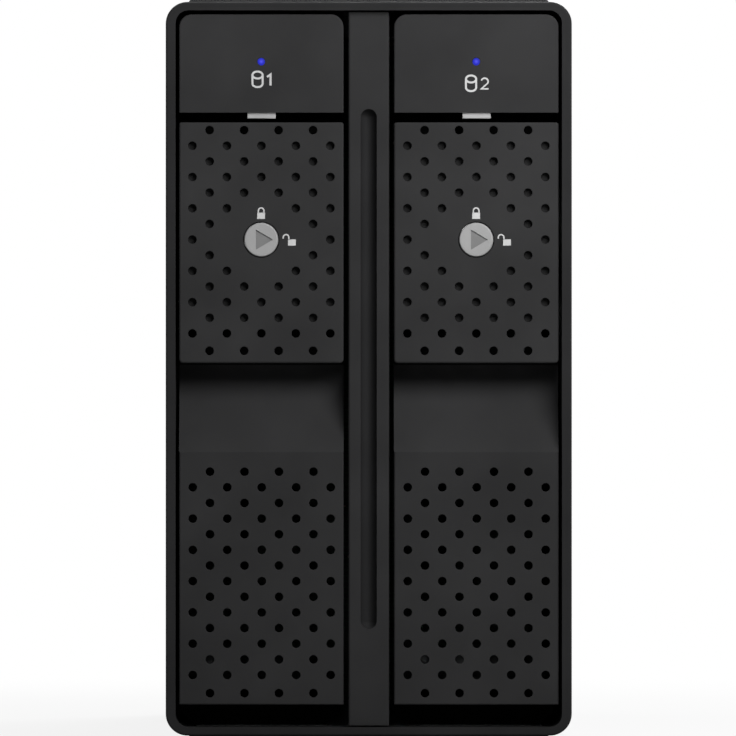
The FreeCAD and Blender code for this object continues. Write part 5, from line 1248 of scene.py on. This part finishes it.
struts = [turned(strut, "strut", math.tau * k / 4, (0, 0, FAN[1])) for k in (1, 2, 3)]
for piece in [strut] + struts:
    combine(ring, piece, "UNION")
base = rod("base", (0, STRUT_START + BASE_DEEP / 2, FAN[1]), BASE_RADIUS, BASE_DEEP, sides=64)
soften(base, 0.5 * MM, 3, "Y", STRUT_START + BASE_DEEP)
combine(ring, base, "UNION")
combine(ring, rod("axle", (0, STRUT_START - 3.9 * MM, FAN[1]), AXLE_RADIUS, AXLE_LONG,
                  sides=32), "UNION")
finish(ring, "enclosure", fan_black, ["fan_frame"])

# %% [markdown]
# Four round rubber feet, each with a soft rim and a shallow cup underneath.

# %% Feet
feet_low, feet_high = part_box("rubber_feet")
FOOT_RADIUS, FOOT_PLACE = 5.4 * MM, 5.5 * MM
pads = []
for x in (feet_low.x + FOOT_PLACE, feet_high.x - FOOT_PLACE):
    for y in (feet_low.y + FOOT_PLACE, feet_high.y - FOOT_PLACE):
        pad = rod("pad", (x, y, (feet_low.z + feet_high.z) / 2), FOOT_RADIUS,
                  feet_high.z - feet_low.z, "Z", 48)
        soften(pad, 0.35 * MM, 4, "Z", feet_low.z)
        combine(pad, rod("cup", (x, y, feet_low.z), FOOT_RADIUS * 0.6, 0.5 * MM, "Z", 40))
        pads.append(pad)
finish(joined("feet", *pads), "enclosure", foot_rubber, ["rubber_feet"])

# %% [markdown]
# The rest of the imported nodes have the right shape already. They are sheet metal, boards and plain
# mouldings that are seen through the grille or with a tray pulled out, so they only need a finish.

# %% Finishes for the nodes that stay
STAYING = {
    galvanised: ["cage_floor", "cage_roof"],
    # Painted shade: the guides are near-black, so the band under the trays reads as deep shadow.
    gap_black: ["lower_guides", "upper_guides"],
    part_black: ["cage_divider", "board_connector", "power_switch", "mode_switch", "set_switch",
                 "drive_connector_1", "drive_connector_2"],
    back_green: ["backplane_board"],
    main_green: ["main_board"],
    brass: ["board_standoffs"],
    fan_black: ["controller_chip"],
    fin_aluminium: ["heat_sink"],
    latch_zinc: ["status_leds"],
    dark_steel: ["tray_1_carrier", "tray_2_carrier", "lever_1_back_plate", "lever_2_back_plate",
                 "lock_1_cam", "lock_2_cam"],
    spring_steel: ["tray_1_hinge_pins", "tray_2_hinge_pins", "tray_1_latch_spring",
                   "tray_2_latch_spring"],
}
for material, names in STAYING.items():
    for name in names:
        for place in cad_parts[name].material_slots:
            place.material = material
plain = [name for name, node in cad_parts.items()
         if not node.hide_render and name not in sum(STAYING.values(), [])]
print("nodes without a finish:", plain)
